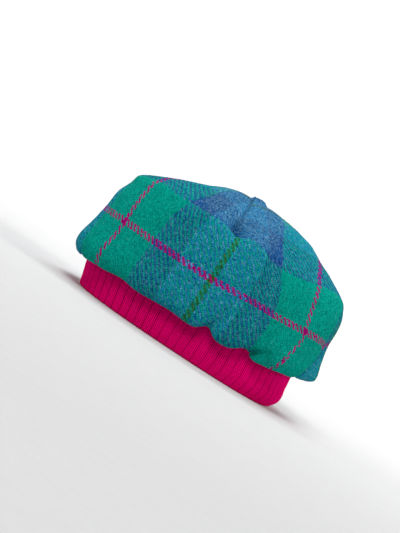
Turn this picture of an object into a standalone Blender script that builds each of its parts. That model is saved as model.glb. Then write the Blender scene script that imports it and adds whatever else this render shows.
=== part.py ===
"""A tweed beret on a ribbed knit band, standing on the band's rim.

Metres, +Z up. The hat's front faces -Y and the wearer's left faces +X. The origin lies on the
surface that the rim stands on, under the middle of the hat.

The crown is four pieces of tweed. Two wide side panels each have a dart that runs from a dimple at
the shoulder to the middle of the top, and a wedge-shaped gusset joins them at the front and at the
back. Below, the cloth hangs out over the knit band in a soft roll, with a few tucks, and turns back
up to the edge where it is sewn to the band.
"""

import math
from typing import NamedTuple

import bpy
import numpy as np

# Knit band
BAND_LENGTH = 0.206
BAND_WIDTH = 0.158
BAND_HEIGHT = 0.046
BAND_WALL = 0.004
RIB_COUNT = 66
RIB_DEPTH = 0.0010

# Crown, whose length and width are the band's with what hangs out beyond it all round
END_OVERHANG = 0.0175
SIDE_OVERHANG = 0.0130
CLOTH = 0.0022
WALL_HEIGHT = 0.071
DOME_RISE = 0.031
ROLL_DROP = 0.017
LAP_ON_BAND = 0.002
GUSSET_WIDTH = 0.080
BACK_LOBE = 0.006
WIDEST_BEHIND_MIDDLE = 0.010

# Seams, dart, dimple and peak
SEAM_DEPTH = 0.0014
SEAM_SPREAD = 0.0040
DART_DEPTH = 0.0045
DART_SPREAD = 0.0080
DART_ROUNDING = 0.0015
DIMPLE_DEPTH = 0.0035
DIMPLE_RADIUS = 0.0110
PEAK_HEIGHT = 0.0034
PEAK_LENGTH = 0.0140
PEAK_WIDTH = 0.0140
TUCK_SPREAD = 0.0120

# Clearance between pieces that touch
GAP = 0.0003

# Mesh fineness
PANEL_COLUMNS_FRONT = 16
PANEL_COLUMNS_BACK = 24
GUSSET_COLUMNS = 6
COLUMNS_PER_RIB = 3
SHARP_ANGLE = math.radians(50)

# Steps over which slopes are read, and how near the crown's pole, in radians and in rows
AZIMUTH_PROBE = 0.02
ROW_PROBE = 0.08
NEAREST_TO_POLE = 0.15
NORMALS_END = 0.30

# Finishes
TEAL = (0.01, 0.26, 0.22)
BLUE = (0.03, 0.15, 0.32)
PINK = (0.57, 0.00, 0.12)
TWEED_ROUGHNESS = 0.95
KNIT_ROUGHNESS = 0.85

HALF_LENGTH = BAND_LENGTH / 2 + END_OVERHANG
HALF_WIDTH = BAND_WIDTH / 2 + SIDE_OVERHANG
SEAM_Z = BAND_HEIGHT - LAP_ON_BAND
SHOULDER_Z = SEAM_Z + WALL_HEIGHT


class BandRow(NamedTuple):
    """The band's outer outline at one height, a share of BAND_HEIGHT.

    Reaches are shares of half its length or width. square is the outline's exponent, 2 for an
    ellipse.
    """

    height: float
    front: float
    side: float
    back: float
    square: float


BAND_ROWS = (
    BandRow(0.00, 0.947, 0.968, 0.956, 2.3),
    BandRow(0.18, 0.966, 0.990, 1.008, 2.3),
    BandRow(0.48, 1.004, 1.000, 0.998, 2.3),
    BandRow(0.75, 1.022, 1.000, 0.983, 2.3),
    BandRow(1.00, 1.038, 1.000, 0.971, 2.3),
)


class SectionPoint(NamedTuple):
    """A corner of the band's own section.

    out is a share of half the wall, from the middle of the knit. rib is how much of the ribs'
    depth shows there.
    """

    out: float
    height: float
    rib: float


BAND_SECTION = (
    SectionPoint(0.45, 0.000, 0.0),
    SectionPoint(0.90, 0.035, 0.7),
    SectionPoint(1.00, 0.160, 1.0),
    SectionPoint(1.00, 0.520, 1.0),
    SectionPoint(0.90, 1.000, 1.0),
    SectionPoint(-0.90, 1.000, 0.0),
    SectionPoint(-1.00, 0.480, 0.0),
    SectionPoint(-0.90, 0.035, 0.0),
    SectionPoint(-0.45, 0.000, 0.0),
)


class RollRow(NamedTuple):
    """A line around the roll that hangs over the band.

    out runs from 0 at the band's face to 1 at the crown's lower wall. The drops are shares of
    ROLL_DROP below the seam. lobe is the share of BACK_LOBE that the row takes.
    """

    name: str
    out: float
    front_drop: float
    side_drop: float
    back_drop: float
    lobe: float


ROLL_ROWS = (
    RollRow("seam", 0.00, 0.00, 0.00, 0.00, 0.0),
    RollRow("lap", 0.05, 0.52, 0.40, 0.17, 0.0),
    RollRow("under", 0.22, 1.07, 0.84, 0.34, 0.3),
    RollRow("fold", 0.54, 1.28, 1.00, 0.41, 0.7),
    RollRow("cheek", 0.87, 1.00, 0.69, 0.26, 1.0),
)


class CrownRow(NamedTuple):
    """A line around the crown above the roll.

    front, back and widest are places along Y and side a place along X, as shares of half the
    crown's length or width. square is the outline's exponent, 2 for an ellipse. The heights are
    shares of WALL_HEIGHT above the seam up to the shoulder, and of DOME_RISE above the shoulder
    after it. lift and pull say how far a whole tuck moves the row, dart how deep the dart is in it.
    """

    name: str
    front: float
    side: float
    back: float
    widest: float
    square: float
    front_z: float
    side_z: float
    back_z: float
    lift: float
    pull: float
    dart: float
    lobe: float


WALL_ROWS = (
    CrownRow("lower_wall", 1.000, 1.000, 0.950, 0.083, 2.35, -0.11, -0.02, 0.01, 0.35, 0.90, 0.0, 1.0),
    CrownRow("wall_1", 0.969, 0.995, 0.944, 0.075, 2.35, 0.15, 0.17, 0.17, 0.12, 0.55, 0.0, 0.5),
    CrownRow("wall_2", 0.948, 0.978, 0.938, 0.050, 2.35, 0.39, 0.41, 0.37, 0.03, 0.22, 0.0, 0.0),
    CrownRow("wall_3", 0.934, 0.957, 0.932, 0.020, 2.35, 0.59, 0.65, 0.62, 0.00, 0.06, 0.0, 0.0),
    CrownRow("wall_4", 0.894, 0.918, 0.909, -0.010, 2.30, 0.76, 0.85, 0.82, 0.00, 0.00, 0.2, 0.0),
    CrownRow("shoulder", 0.876, 0.859, 0.859, -0.035, 2.25, 0.88, 1.00, 0.96, 0.00, 0.00, 0.8, 0.0),
)

TOP_ROWS = (
    CrownRow("top_1", 0.814, 0.761, 0.776, -0.045, 2.20, -0.10, 0.21, 0.11, 0.00, 0.00, 1.0, 0.0),
    CrownRow("top_2", 0.643, 0.598, 0.610, -0.055, 2.15, 0.21, 0.52, 0.43, 0.00, 0.00, 1.0, 0.0),
    CrownRow("top_3", 0.415, 0.402, 0.398, -0.068, 2.10, 0.575, 0.83, 0.78, 0.00, 0.00, 1.0, 0.0),
    CrownRow("top_4", 0.300, 0.207, 0.140, -0.092, 2.00, 0.79, 0.97, 0.95, 0.00, 0.00, 1.0, 0.0),
    CrownRow("top_5", 0.187, 0.087, -0.015, -0.102, 2.00, 0.91, 0.97, 0.97, 0.00, 0.00, 0.7, 0.0),
    CrownRow("middle", 0.108, 0.000, -0.108, -0.108, 2.00, 0.94, 0.94, 0.94, 0.00, 0.00, 0.5, 0.0),
)

ROW_NAMES = tuple(row.name for row in ROLL_ROWS + WALL_ROWS + TOP_ROWS)

# Half the gusset's width as shares of half of GUSSET_WIDTH, at the front and at the back
GUSSET_SHARES = {
    "seam": (0.75, 0.95),
    "fold": (0.78, 1.00),
    "lower_wall": (0.78, 1.00),
    "wall_1": (0.70, 0.76),
    "wall_2": (0.60, 0.45),
    "wall_3": (0.48, 0.30),
    "wall_4": (0.33, 0.22),
    "shoulder": (0.22, 0.17),
    "top_2": (0.07, 0.07),
    "top_3": (0.00, 0.00),
}
GUSSET_TIP_ROW = "top_3"


class Tuck(NamedTuple):
    """A tuck in the roll. side is 1 on the wearer's left, along a share of half the length.

    rise and pull are the shares of a whole tuck. before and after are its spreads towards the
    front and the back, as shares of TUCK_SPREAD. lean is how far it runs back for each unit up.
    """

    side: int
    along: float
    rise: float
    pull: float
    before: float
    after: float
    lean: float


TUCKS = (
    Tuck(1, -0.560, 0.13, 0.10, 0.80, 0.80, 0.0),
    Tuck(1, -0.155, 0.07, 0.05, 0.90, 0.90, 0.0),
    Tuck(1, 0.136, 0.40, 0.30, 0.56, 0.60, 0.2),
    Tuck(1, 0.452, 0.40, 0.34, 0.80, 0.55, 0.45),
    Tuck(-1, -0.400, 0.36, 0.26, 0.80, 0.60, 0.2),
    Tuck(-1, 0.050, 0.20, 0.20, 0.90, 0.90, 0.0),
    Tuck(-1, 0.500, 0.40, 0.32, 0.60, 0.80, 0.4),
)


def through(knots, values, at):
    """Read a smooth curve through values placed at knots."""
    knots = np.asarray(knots, float)
    values = np.asarray(values, float)
    steps = np.diff(knots)
    slopes = np.diff(values) / steps
    tangents = np.empty_like(values)
    tangents[0] = slopes[0]
    tangents[-1] = slopes[-1]
    tangents[1:-1] = (slopes[:-1] * steps[1:] + slopes[1:] * steps[:-1]) / (steps[:-1] + steps[1:])
    span = np.clip(np.searchsorted(knots, at, side="right") - 1, 0, len(steps) - 1)
    width = steps[span]
    u = (at - knots[span]) / width
    start = values[span] * (2 * u**3 - 3 * u**2 + 1) + tangents[span] * width * (u**3 - 2 * u**2 + u)
    end = values[span + 1] * (3 * u**2 - 2 * u**3) + tangents[span + 1] * width * (u**3 - u**2)
    return start + end


def band_value(height, key):
    """A column of the band's rows, read at a height above the rim."""
    column = [getattr(row, key) for row in BAND_ROWS]
    return through([row.height for row in BAND_ROWS], column, np.asarray(height) / BAND_HEIGHT)


def band_reach(height, key):
    """How far the band's outer face reaches from the middle, at a height above the rim."""
    half = BAND_WIDTH / 2 if key == "side" else BAND_LENGTH / 2
    return half * band_value(height, key)


def oval(azimuth, front, side, back, widest, square):
    """Points on an egg-shaped outline, with the outward normal in plan.

    azimuth is 0 on the wearer's left and a quarter turn at the back. front is how far the outline
    reaches towards -Y and back towards +Y, both from the middle of the hat.
    """
    across, along = np.cos(azimuth), np.sin(azimuth)
    reach = (np.abs(across) ** square + np.abs(along) ** square) ** (-1 / square)
    depth = np.where(along > 0, back - widest, front + widest)
    x = side * reach * across
    y = widest + depth * reach * along
    normal_x = np.sign(across) * np.abs(across * reach) ** (square - 1) * np.maximum(depth, 1e-6)
    normal_y = np.sign(along) * np.abs(along * reach) ** (square - 1) * np.maximum(side, 1e-6)
    length = np.hypot(normal_x, normal_y) + 1e-12
    return x, y, normal_x / length, normal_y / length


def crown_rows():
    """Every row of the crown as real places, with the roll fitted round the band."""
    table = []
    wall = WALL_ROWS[0]
    for row in ROLL_ROWS:
        reaches, heights = {}, {}
        for key, half in (("front", HALF_LENGTH), ("side", HALF_WIDTH), ("back", HALF_LENGTH)):
            heights[key] = SEAM_Z - ROLL_DROP * getattr(row, key + "_drop")
            face = band_reach(heights[key], key) + GAP
            reaches[key] = face + row.out * (half * getattr(wall, key) - face)
        table.append((reaches["front"], reaches["side"], reaches["back"], WIDEST_BEHIND_MIDDLE,
                      float(band_value(heights["side"], "square")), heights["front"],
                      heights["side"], heights["back"], row.side_drop, row.out, 0.0, row.lobe))
    for rows, base, rise in ((WALL_ROWS, SEAM_Z, WALL_HEIGHT), (TOP_ROWS, SHOULDER_Z, DOME_RISE)):
        for row in rows:
            table.append((row.front * HALF_LENGTH, row.side * HALF_WIDTH, row.back * HALF_LENGTH,
                          row.widest * HALF_LENGTH, row.square, base + rise * row.front_z,
                          base + rise * row.side_z, base + rise * row.back_z,
                          row.lift, row.pull, row.dart, row.lobe))
    return np.array(table)


ROWS = crown_rows()
ROW_KNOTS = np.concatenate(([0.0], np.cumsum(np.hypot(np.diff(ROWS[:, 1]), np.diff(ROWS[:, 6])))))
LAST_ROW = len(ROWS) - 1
MIDDLE_Y = float(ROWS[-1, 3])


def knot(station):
    """Distance along the side profile of a station, which counts rows from the seam."""
    return np.interp(station, np.arange(len(ROWS)), ROW_KNOTS)


def gusset_half_width(station, end):
    """Half the gusset's width at a station. end is 0 at the front and 1 at the back."""
    stations = [ROW_NAMES.index(name) for name in GUSSET_SHARES]
    shares = [pair[end] for pair in GUSSET_SHARES.values()]
    return GUSSET_WIDTH / 2 * np.interp(station, stations, shares)


def base_surface(azimuth, station):
    """The crown's outer face with its tucks and lobe, before the seams pull it in."""
    at = knot(station)
    front, side, back, widest, square, front_z, side_z, back_z, lift, pull, dart, lobe = (
        through(ROW_KNOTS, ROWS[:, column], at) for column in range(ROWS.shape[1]))
    side = np.maximum(side, 0.0)
    x, y, out_x, out_y = oval(azimuth, front, side, back, widest, square)
    end_z = np.where(np.sin(azimuth) > 0, back_z, front_z)
    z = side_z * np.cos(azimuth) ** 2 + end_z * np.sin(azimuth) ** 2
    risen = np.zeros_like(x)
    pulled = np.zeros_like(x)
    for tuck in TUCKS:
        offset = y - tuck.along * HALF_LENGTH - tuck.lean * (z - SEAM_Z + ROLL_DROP)
        spread = TUCK_SPREAD * np.where(offset < 0, tuck.before, tuck.after)
        shape = np.exp(-(offset / spread) ** 2) * (x * tuck.side > 0)
        risen += tuck.rise * shape
        pulled += tuck.pull * shape
    half_gusset = gusset_half_width(station, 1)
    across = np.clip(x / np.maximum(half_gusset, 1e-6), -1, 1)
    bulge = BACK_LOBE * lobe * np.cos(math.pi / 2 * across) ** 2 * (np.sin(azimuth) > 0.5)
    move = bulge - SIDE_OVERHANG * pull * pulled
    return np.stack([x + out_x * move, y + out_y * move, z + ROLL_DROP * lift * risen], axis=-1)


def normals(surface, azimuth, station):
    """Outward unit normals of a surface, from its slopes over a small step."""
    low = np.maximum(station - ROW_PROBE, 0)
    high = np.minimum(station + ROW_PROBE, LAST_ROW - NEAREST_TO_POLE)
    low = np.minimum(low, high - ROW_PROBE)
    around = surface(azimuth + AZIMUTH_PROBE, station) - surface(azimuth - AZIMUTH_PROBE, station)
    along = surface(azimuth, high) - surface(azimuth, low)
    normal = np.cross(around, along)
    return normal / (np.linalg.norm(normal, axis=-1, keepdims=True) + 1e-15)


def crown_surface(azimuth, station):
    """The crown's finished outer face."""
    azimuth, station = np.broadcast_arrays(np.asarray(azimuth, float), np.asarray(station, float))
    points = base_surface(azimuth, station)
    normal = normals(base_surface, azimuth, np.minimum(station, LAST_ROW - NORMALS_END))
    x, y, z = points[..., 0], points[..., 1], points[..., 2]
    at = knot(station)
    dart = through(ROW_KNOTS, ROWS[:, 10], at)
    widest = through(ROW_KNOTS, ROWS[:, 3], at)
    from_dart = np.hypot(y - widest, DART_ROUNDING) - DART_ROUNDING
    in_dart = dart * np.exp(-from_dart / DART_SPREAD)
    ends = np.where(np.sin(azimuth) > 0, gusset_half_width(station, 1), gusset_half_width(station, 0))
    lap, fold = ROW_NAMES.index("lap"), ROW_NAMES.index("fold")
    on_wall = np.clip((station - lap) / (fold - lap), 0, 1)
    in_seam = np.exp(-((np.abs(x) - ends) / SEAM_SPREAD) ** 2) * np.sin(azimuth) ** 2 * on_wall
    shoulder = ROW_KNOTS[ROW_NAMES.index("shoulder")]
    from_dimple = np.hypot(y - widest, at - shoulder)
    in_dimple = np.exp(-(from_dimple / DIMPLE_RADIUS) ** 2)
    depth = DART_DEPTH * in_dart + SEAM_DEPTH * in_seam * (1 - in_dart) + DIMPLE_DEPTH * in_dimple
    points = points - normal * depth[..., None]
    beside = (y - MIDDLE_Y - PEAK_LENGTH / 2) / (PEAK_LENGTH / 2)
    peak = PEAK_HEIGHT * np.exp(-(beside**2 + (x / (PEAK_WIDTH / 2)) ** 2) ** 2)
    points[..., 2] += peak * (station > ROW_NAMES.index("top_2"))
    return points


def edge_azimuth(station, end, offset):
    """Azimuth, on the wearer's left, where the crown's outline is offset beyond the gusset's edge."""
    at = knot(station)
    side = np.maximum(through(ROW_KNOTS, ROWS[:, 1], at), 1e-6)
    square = through(ROW_KNOTS, ROWS[:, 4], at)
    across = np.clip((gusset_half_width(station, end) + offset) / side, 0.0, 0.999)
    angle = np.arctan2((1 - across**square) ** (1 / square), across)
    return angle if end else -angle


def panel_azimuths(stations):
    """Azimuths of the left panel's columns, front to back, one row for each station."""
    front = edge_azimuth(stations, 0, GAP / 2)[:, None]
    back = edge_azimuth(stations, 1, GAP / 2)[:, None]
    to_dart = np.linspace(1, 0, PANEL_COLUMNS_FRONT + 1)[None, :-1]
    from_dart = np.linspace(0, 1, PANEL_COLUMNS_BACK + 1)[None, :]
    return np.concatenate([front * to_dart, back * from_dart], axis=1)


def gusset_azimuths(stations, end):
    """Azimuths of a gusset's columns, from the wearer's left to the right."""
    edge = edge_azimuth(stations, end, -GAP / 2)[:, None]
    middle = math.pi / 2 if end else -math.pi / 2
    return middle + (edge - middle) * np.linspace(1, -1, GUSSET_COLUMNS + 1)[None, :]


def stations_up_to(last):
    """Rows of the mesh: every named row, with one more halfway along the dome's longer steps."""
    halves = [ROW_NAMES.index(name) + 0.5 for name in ("top_1", "top_2", "top_3")]
    return np.array(sorted(set(range(last + 1)) | {half for half in halves if half < last}), float)


def cloth_faces(rows, columns, with_tip):
    """Faces of a closed sheet of cloth with an outer and an inner grid, and a point at its top."""
    inner = rows * columns
    tip_outer, tip_inner = 2 * inner, 2 * inner + 1
    faces = []

    def wall(a, b, inner_a, inner_b):
        faces.append((a, inner_a, inner_b, b))

    for r in range(rows - 1):
        for c in range(columns - 1):
            a, b = r * columns + c, r * columns + c + 1
            d, e = a + columns, b + columns
            faces.append((a, b, e, d))
            faces.append((a + inner, d + inner, e + inner, b + inner))
    for c in range(columns - 1):
        a, b = c, c + 1
        wall(a, b, a + inner, b + inner)
        top_a, top_b = (rows - 1) * columns + c, (rows - 1) * columns + c + 1
        if with_tip:
            faces.append((top_a, top_b, tip_outer))
            faces.append((top_b + inner, top_a + inner, tip_inner))
        else:
            wall(top_b, top_a, top_b + inner, top_a + inner)
    for r in range(rows - 1):
        left, right = r * columns, r * columns + columns - 1
        wall(left + columns, left, left + columns + inner, left + inner)
        wall(right, right + columns, right + inner, right + columns + inner)
    if with_tip:
        left, right = (rows - 1) * columns, rows * columns - 1
        wall(tip_outer, left, tip_inner, left + inner)
        wall(right, tip_outer, right + inner, tip_inner)
    return faces


def add_object(name, points, faces, colour, roughness):
    """Add a mesh object with its own material."""
    mesh = bpy.data.meshes.new(name)
    mesh.from_pydata([tuple(float(value) for value in point) for point in points], [], faces)
    mesh.shade_smooth()
    mesh.set_sharp_from_angle(angle=SHARP_ANGLE)
    material = bpy.data.materials.new(name)
    material.use_nodes = True
    shader = material.node_tree.nodes["Principled BSDF"]
    shader.inputs["Base Color"].default_value = (*colour, 1.0)
    shader.inputs["Roughness"].default_value = roughness
    shader.inputs["Metallic"].default_value = 0.0
    mesh.materials.append(material)
    body = bpy.data.objects.new(name, mesh)
    bpy.context.collection.objects.link(body)
    return body


def cloth_points(azimuths, stations, tip):
    """Outer and inner points of a sheet of cloth, then its two tip points."""
    rows = np.broadcast_to(stations[:, None], azimuths.shape)
    outer = crown_surface(azimuths, rows)
    inner = outer - CLOTH * normals(crown_surface, azimuths, rows)
    ends = [tip, tip - np.array([0.0, 0.0, CLOTH])]
    return np.concatenate([outer.reshape(-1, 3), inner.reshape(-1, 3), np.array(ends)])


def make_side_panel(name, mirrored, colour):
    """A wide side panel, from its seam with the band up to the middle of the top."""
    stations = stations_up_to(LAST_ROW - 1)
    azimuths = panel_azimuths(stations)
    if mirrored:
        azimuths = math.pi - azimuths[:, ::-1]
    tip = crown_surface(0.0, float(LAST_ROW))
    tip[0] = (-1 if mirrored else 1) * GAP
    points = cloth_points(azimuths, stations, tip)
    faces = cloth_faces(len(stations), azimuths.shape[1], True)
    add_object(name, points, faces, colour, TWEED_ROUGHNESS)


def make_gusset(name, end, colour):
    """A wedge of cloth at the front, end 0, or at the back, end 1."""
    tip_row = ROW_NAMES.index(GUSSET_TIP_ROW)
    stations = stations_up_to(tip_row - 1)
    stations = np.append(stations, tip_row - 0.5)
    azimuths = gusset_azimuths(stations, end)
    if not end:
        azimuths = azimuths[:, ::-1]
    short = GAP / gusset_half_width(tip_row - 1.0, end)
    middle = math.pi / 2 if end else -math.pi / 2
    tip = crown_surface(middle, tip_row - float(short))
    tip[0] = 0.0
    points = cloth_points(azimuths, stations, tip)
    faces = cloth_faces(len(stations), azimuths.shape[1], True)
    add_object(name, points, faces, colour, TWEED_ROUGHNESS)


def make_knit_band():
    """The ribbed band: a closed ring whose ribs are broad, with a narrow groove between them."""
    count = RIB_COUNT * COLUMNS_PER_RIB
    azimuth = np.linspace(0, 2 * math.pi, count, endpoint=False)
    in_groove = np.array([index % COLUMNS_PER_RIB == 0 for index in range(count)], float)
    rings = []
    for corner in BAND_SECTION:
        height = corner.height * BAND_HEIGHT
        inset = BAND_WALL / 2 * (1 - corner.out)
        x, y, out_x, out_y = oval(azimuth, band_reach(height, "front"), band_reach(height, "side"),
                                  band_reach(height, "back"), WIDEST_BEHIND_MIDDLE,
                                  band_value(height, "square"))
        inset = inset + RIB_DEPTH * corner.rib * in_groove
        rings.append(np.stack([x - out_x * inset, y - out_y * inset, np.full(count, height)], axis=-1))
    points = np.concatenate(rings)
    faces = []
    for ring in range(len(BAND_SECTION)):
        following = (ring + 1) % len(BAND_SECTION)
        for c in range(count):
            d = (c + 1) % count
            faces.append((ring * count + c, ring * count + d, following * count + d, following * count + c))
    add_object("knit_band", points, faces, PINK, KNIT_ROUGHNESS)


def main():
    for body in list(bpy.data.objects):
        bpy.data.objects.remove(body, do_unlink=True)
    make_side_panel("left_panel", False, TEAL)
    make_side_panel("right_panel", True, TEAL)
    make_gusset("front_gusset", 0, BLUE)
    make_gusset("back_gusset", 1, BLUE)
    make_knit_band()


main()
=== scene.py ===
"""A tweed beret on a ribbed knit band, dressed for a close look.

The crown is four pieces of brushed wool twill, cut from a plaid of teal and blue with magenta and
olive lines, and sewn to a band of magenta-pink rib knit. The hat stands on the band's rim, with its
front towards -Y and the wearer's left towards +X. Lengths are in metres, but the tables of the
plaid's lines and of the folds are in millimetres.
"""

import logging
import math
from dataclasses import dataclass
from enum import Enum
from functools import cached_property
from typing import NamedTuple

import bmesh
import bpy
import numpy as np
from mathutils import Matrix, Vector


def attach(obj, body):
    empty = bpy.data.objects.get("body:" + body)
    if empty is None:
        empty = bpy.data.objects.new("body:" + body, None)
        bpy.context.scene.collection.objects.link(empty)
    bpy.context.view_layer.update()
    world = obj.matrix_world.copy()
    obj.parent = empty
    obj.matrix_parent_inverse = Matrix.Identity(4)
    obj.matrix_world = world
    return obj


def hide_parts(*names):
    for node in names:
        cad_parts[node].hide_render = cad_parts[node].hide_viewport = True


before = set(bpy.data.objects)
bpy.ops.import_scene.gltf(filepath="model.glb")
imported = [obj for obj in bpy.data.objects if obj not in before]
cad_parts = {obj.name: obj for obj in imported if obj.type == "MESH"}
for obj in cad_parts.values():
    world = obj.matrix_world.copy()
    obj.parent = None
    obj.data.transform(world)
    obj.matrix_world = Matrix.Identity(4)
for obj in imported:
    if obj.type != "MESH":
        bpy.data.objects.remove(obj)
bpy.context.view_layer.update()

BODY = "root"
CLOTH_MAP = "cloth"
PLAID_MAP = "plaid"
UP = np.array([0.0, 0.0, 1.0])
MM = 0.001
LEAST_WIDTH = 1e-6
BAND_SEED = 31
CROWN_SEED = 41
SEED_STEP = 10

log = logging.getLogger("beret")


def through(knots: np.ndarray, values: np.ndarray, at: np.ndarray) -> np.ndarray:
    """Read a smooth curve through values placed at knots.

    Args:
        knots: where the values stand, rising.
        values: one value, or one row of values, for each knot.
        at: where to read the curve.

    Returns:
        The curve's values, shaped as at, with the values' further axes behind.
    """
    knots = np.asarray(knots, float)
    values = np.asarray(values, float)
    at = np.asarray(at, float)
    further = (1,) * (values.ndim - 1)
    steps = np.diff(knots).reshape((-1, *further))
    slopes = np.diff(values, axis=0) / steps
    tangents = np.empty_like(values)
    tangents[0] = slopes[0]
    tangents[-1] = slopes[-1]
    tangents[1:-1] = (slopes[:-1] * steps[1:] + slopes[1:] * steps[:-1]) / (steps[:-1] + steps[1:])
    span = np.clip(np.searchsorted(knots, at, side="right") - 1, 0, len(knots) - 2)
    width = steps[span]
    u = ((at - knots[span]) / (knots[span + 1] - knots[span])).reshape(at.shape + further)
    start = values[span] * (2 * u**3 - 3 * u**2 + 1) + tangents[span] * width * (u**3 - 2 * u**2 + u)
    end = values[span + 1] * (3 * u**2 - 2 * u**3) + tangents[span + 1] * width * (u**3 - u**2)
    return start + end


def between(at: np.ndarray, knots: np.ndarray, values: np.ndarray) -> np.ndarray:
    """Read values between knots that differ from point to point, and run on evenly past them.

    Args:
        at: one place for each point.
        knots: rising places, a row of them for each point.
        values: what stands at the knots.

    Returns:
        One value for each point.
    """
    found = values[0] + np.minimum(at - knots[..., 0], 0)
    for k in range(len(values) - 1):
        share = np.clip((at - knots[..., k]) / (knots[..., k + 1] - knots[..., k]), 0, 1)
        found = found + share * (values[k + 1] - values[k])
    return found + np.maximum(at - knots[..., -1], 0)


def smooth_step(low: float, high: float, at: np.ndarray) -> np.ndarray:
    """Run from 0 at low to 1 at high without a corner."""
    u = np.clip((at - low) / (high - low), 0, 1)
    return u * u * (3 - 2 * u)


def cells(grid: np.ndarray) -> list[np.ndarray]:
    """The four corners of each cell of a grid, from the lower left to the lower right and round."""
    return [grid[:-1, :-1], grid[:-1, 1:], grid[1:, 1:], grid[1:, :-1]]


def along_rows(grid: np.ndarray) -> np.ndarray:
    """Distance of each point of a grid from the first one in its row."""
    widths = np.linalg.norm(np.diff(grid, axis=1), axis=2)
    return np.concatenate([np.zeros((len(grid), 1)), np.cumsum(widths, axis=1)], axis=1)


def linear(red: int, green: int, blue: int) -> tuple[float, float, float, float]:
    """Turn a colour as the eye reads it into the light that a shader takes.

    Args:
        red: from 0 to 255.
        green: the same.
        blue: the same.

    Returns:
        Red, green, blue and alpha, from 0 to 1.
    """
    steps = (red / 255, green / 255, blue / 255)
    light = [s / 12.92 if s <= 0.04045 else ((s + 0.055) / 1.055) ** 2.4 for s in steps]
    return (*light, 1.0)


def oval(azimuth: np.ndarray, front: np.ndarray, side: np.ndarray, back: np.ndarray,
         widest: np.ndarray, square: np.ndarray) -> tuple[np.ndarray, ...]:
    """Walk an egg-shaped outline.

    Args:
        azimuth: 0 on the wearer's left and a quarter turn at the back.
        front: reach towards -Y from the middle of the hat.
        side: reach along X.
        back: reach towards +Y.
        widest: place along Y where the outline is widest.
        square: the outline's exponent, 2 for an ellipse.

    Returns:
        x, y and the outward normal's x and y.
    """
    across, along = np.cos(azimuth), np.sin(azimuth)
    reach = (np.abs(across) ** square + np.abs(along) ** square) ** (-1 / square)
    depth = np.where(along > 0, back - widest, front + widest)
    x = side * reach * across
    y = widest + depth * reach * along
    normal_x = np.sign(across) * np.abs(across * reach) ** (square - 1) * np.maximum(depth, LEAST_WIDTH)
    normal_y = np.sign(along) * np.abs(along * reach) ** (square - 1) * np.maximum(side, LEAST_WIDTH)
    length = np.hypot(normal_x, normal_y) + 1e-12
    return x, y, normal_x / length, normal_y / length


class BandRow(NamedTuple):
    """The band's outline at one height, as shares of its height, half length and half width."""

    height: float
    front: float
    side: float
    back: float
    square: float


class RollRow(NamedTuple):
    """A line round the roll that hangs over the band.

    out runs from 0 at the band's face to 1 at the crown's lower wall. The drops are shares of the
    roll's drop below the seam, and lobe is the share of the back lobe that the row takes.
    """

    name: str
    out: float
    front_drop: float
    side_drop: float
    back_drop: float
    lobe: float


class CrownRow(NamedTuple):
    """A line round the crown above the roll.

    front, side, back and widest are shares of half the crown's length or width, and the heights
    shares of the wall's height up to the shoulder, and of the dome's rise after it. lift and pull
    say how far a whole tuck moves the row, and dart how deep the dart is in it.
    """

    name: str
    front: float
    side: float
    back: float
    widest: float
    square: float
    front_z: float
    side_z: float
    back_z: float
    lift: float
    pull: float
    dart: float
    lobe: float


class GussetRow(NamedTuple):
    """Half the gusset's width at one row, as shares of half its full width."""

    name: str
    front: float
    back: float


class Tuck(NamedTuple):
    """A tuck in the roll's lower edge.

    side is 1 on the wearer's left and along a share of half the length. rise and pull are shares
    of a whole tuck, before and after its spreads, and lean how far it runs back as it goes up.
    """

    side: int
    along: float
    rise: float
    pull: float
    before: float
    after: float
    lean: float


class WarpRow(NamedTuple):
    """Where the plaid's lengthwise lines stand on a flat piece at one height, in millimetres.

    up is the height above the magenta line that runs round the hat. The other columns are places
    across the piece: the edges of the teal and light-blue stripes, and the thin lines' middles.
    """

    up: float
    magenta_front: float
    teal_front: float
    light_front: float
    olive: float
    light_back: float
    teal_back: float
    magenta_back: float


class WeftRow(NamedTuple):
    """Heights of the plaid's crosswise lines at one place across a flat piece, in millimetres."""

    across: float
    magenta: float
    teal: float
    olive: float


class Fold(NamedTuple):
    """A fold pressed into the cloth along a line seen from the side, in millimetres.

    The line runs from a lower end to an upper one. before and after are how far the hollow
    spreads to the front and the back of the line, and end how far past its two ends.
    """

    side: int
    low_y: float
    low_z: float
    high_y: float
    high_z: float
    depth: float
    before: float
    after: float
    end: float


BAND_ROWS = (
    BandRow(0.00, 0.947, 0.968, 0.956, 2.3),
    BandRow(0.18, 0.966, 0.990, 1.008, 2.3),
    BandRow(0.48, 1.004, 1.000, 0.998, 2.3),
    BandRow(0.75, 1.022, 1.000, 0.983, 2.3),
    BandRow(1.00, 1.038, 1.000, 0.971, 2.3),
)

ROLL_ROWS = (
    RollRow("seam", 0.00, 0.00, 0.00, 0.00, 0.0),
    RollRow("lap", 0.05, 0.52, 0.40, 0.17, 0.0),
    RollRow("under", 0.22, 1.07, 0.84, 0.34, 0.3),
    RollRow("fold", 0.54, 1.28, 1.00, 0.41, 0.7),
    RollRow("cheek", 0.87, 1.00, 0.69, 0.26, 1.0),
)

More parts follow.
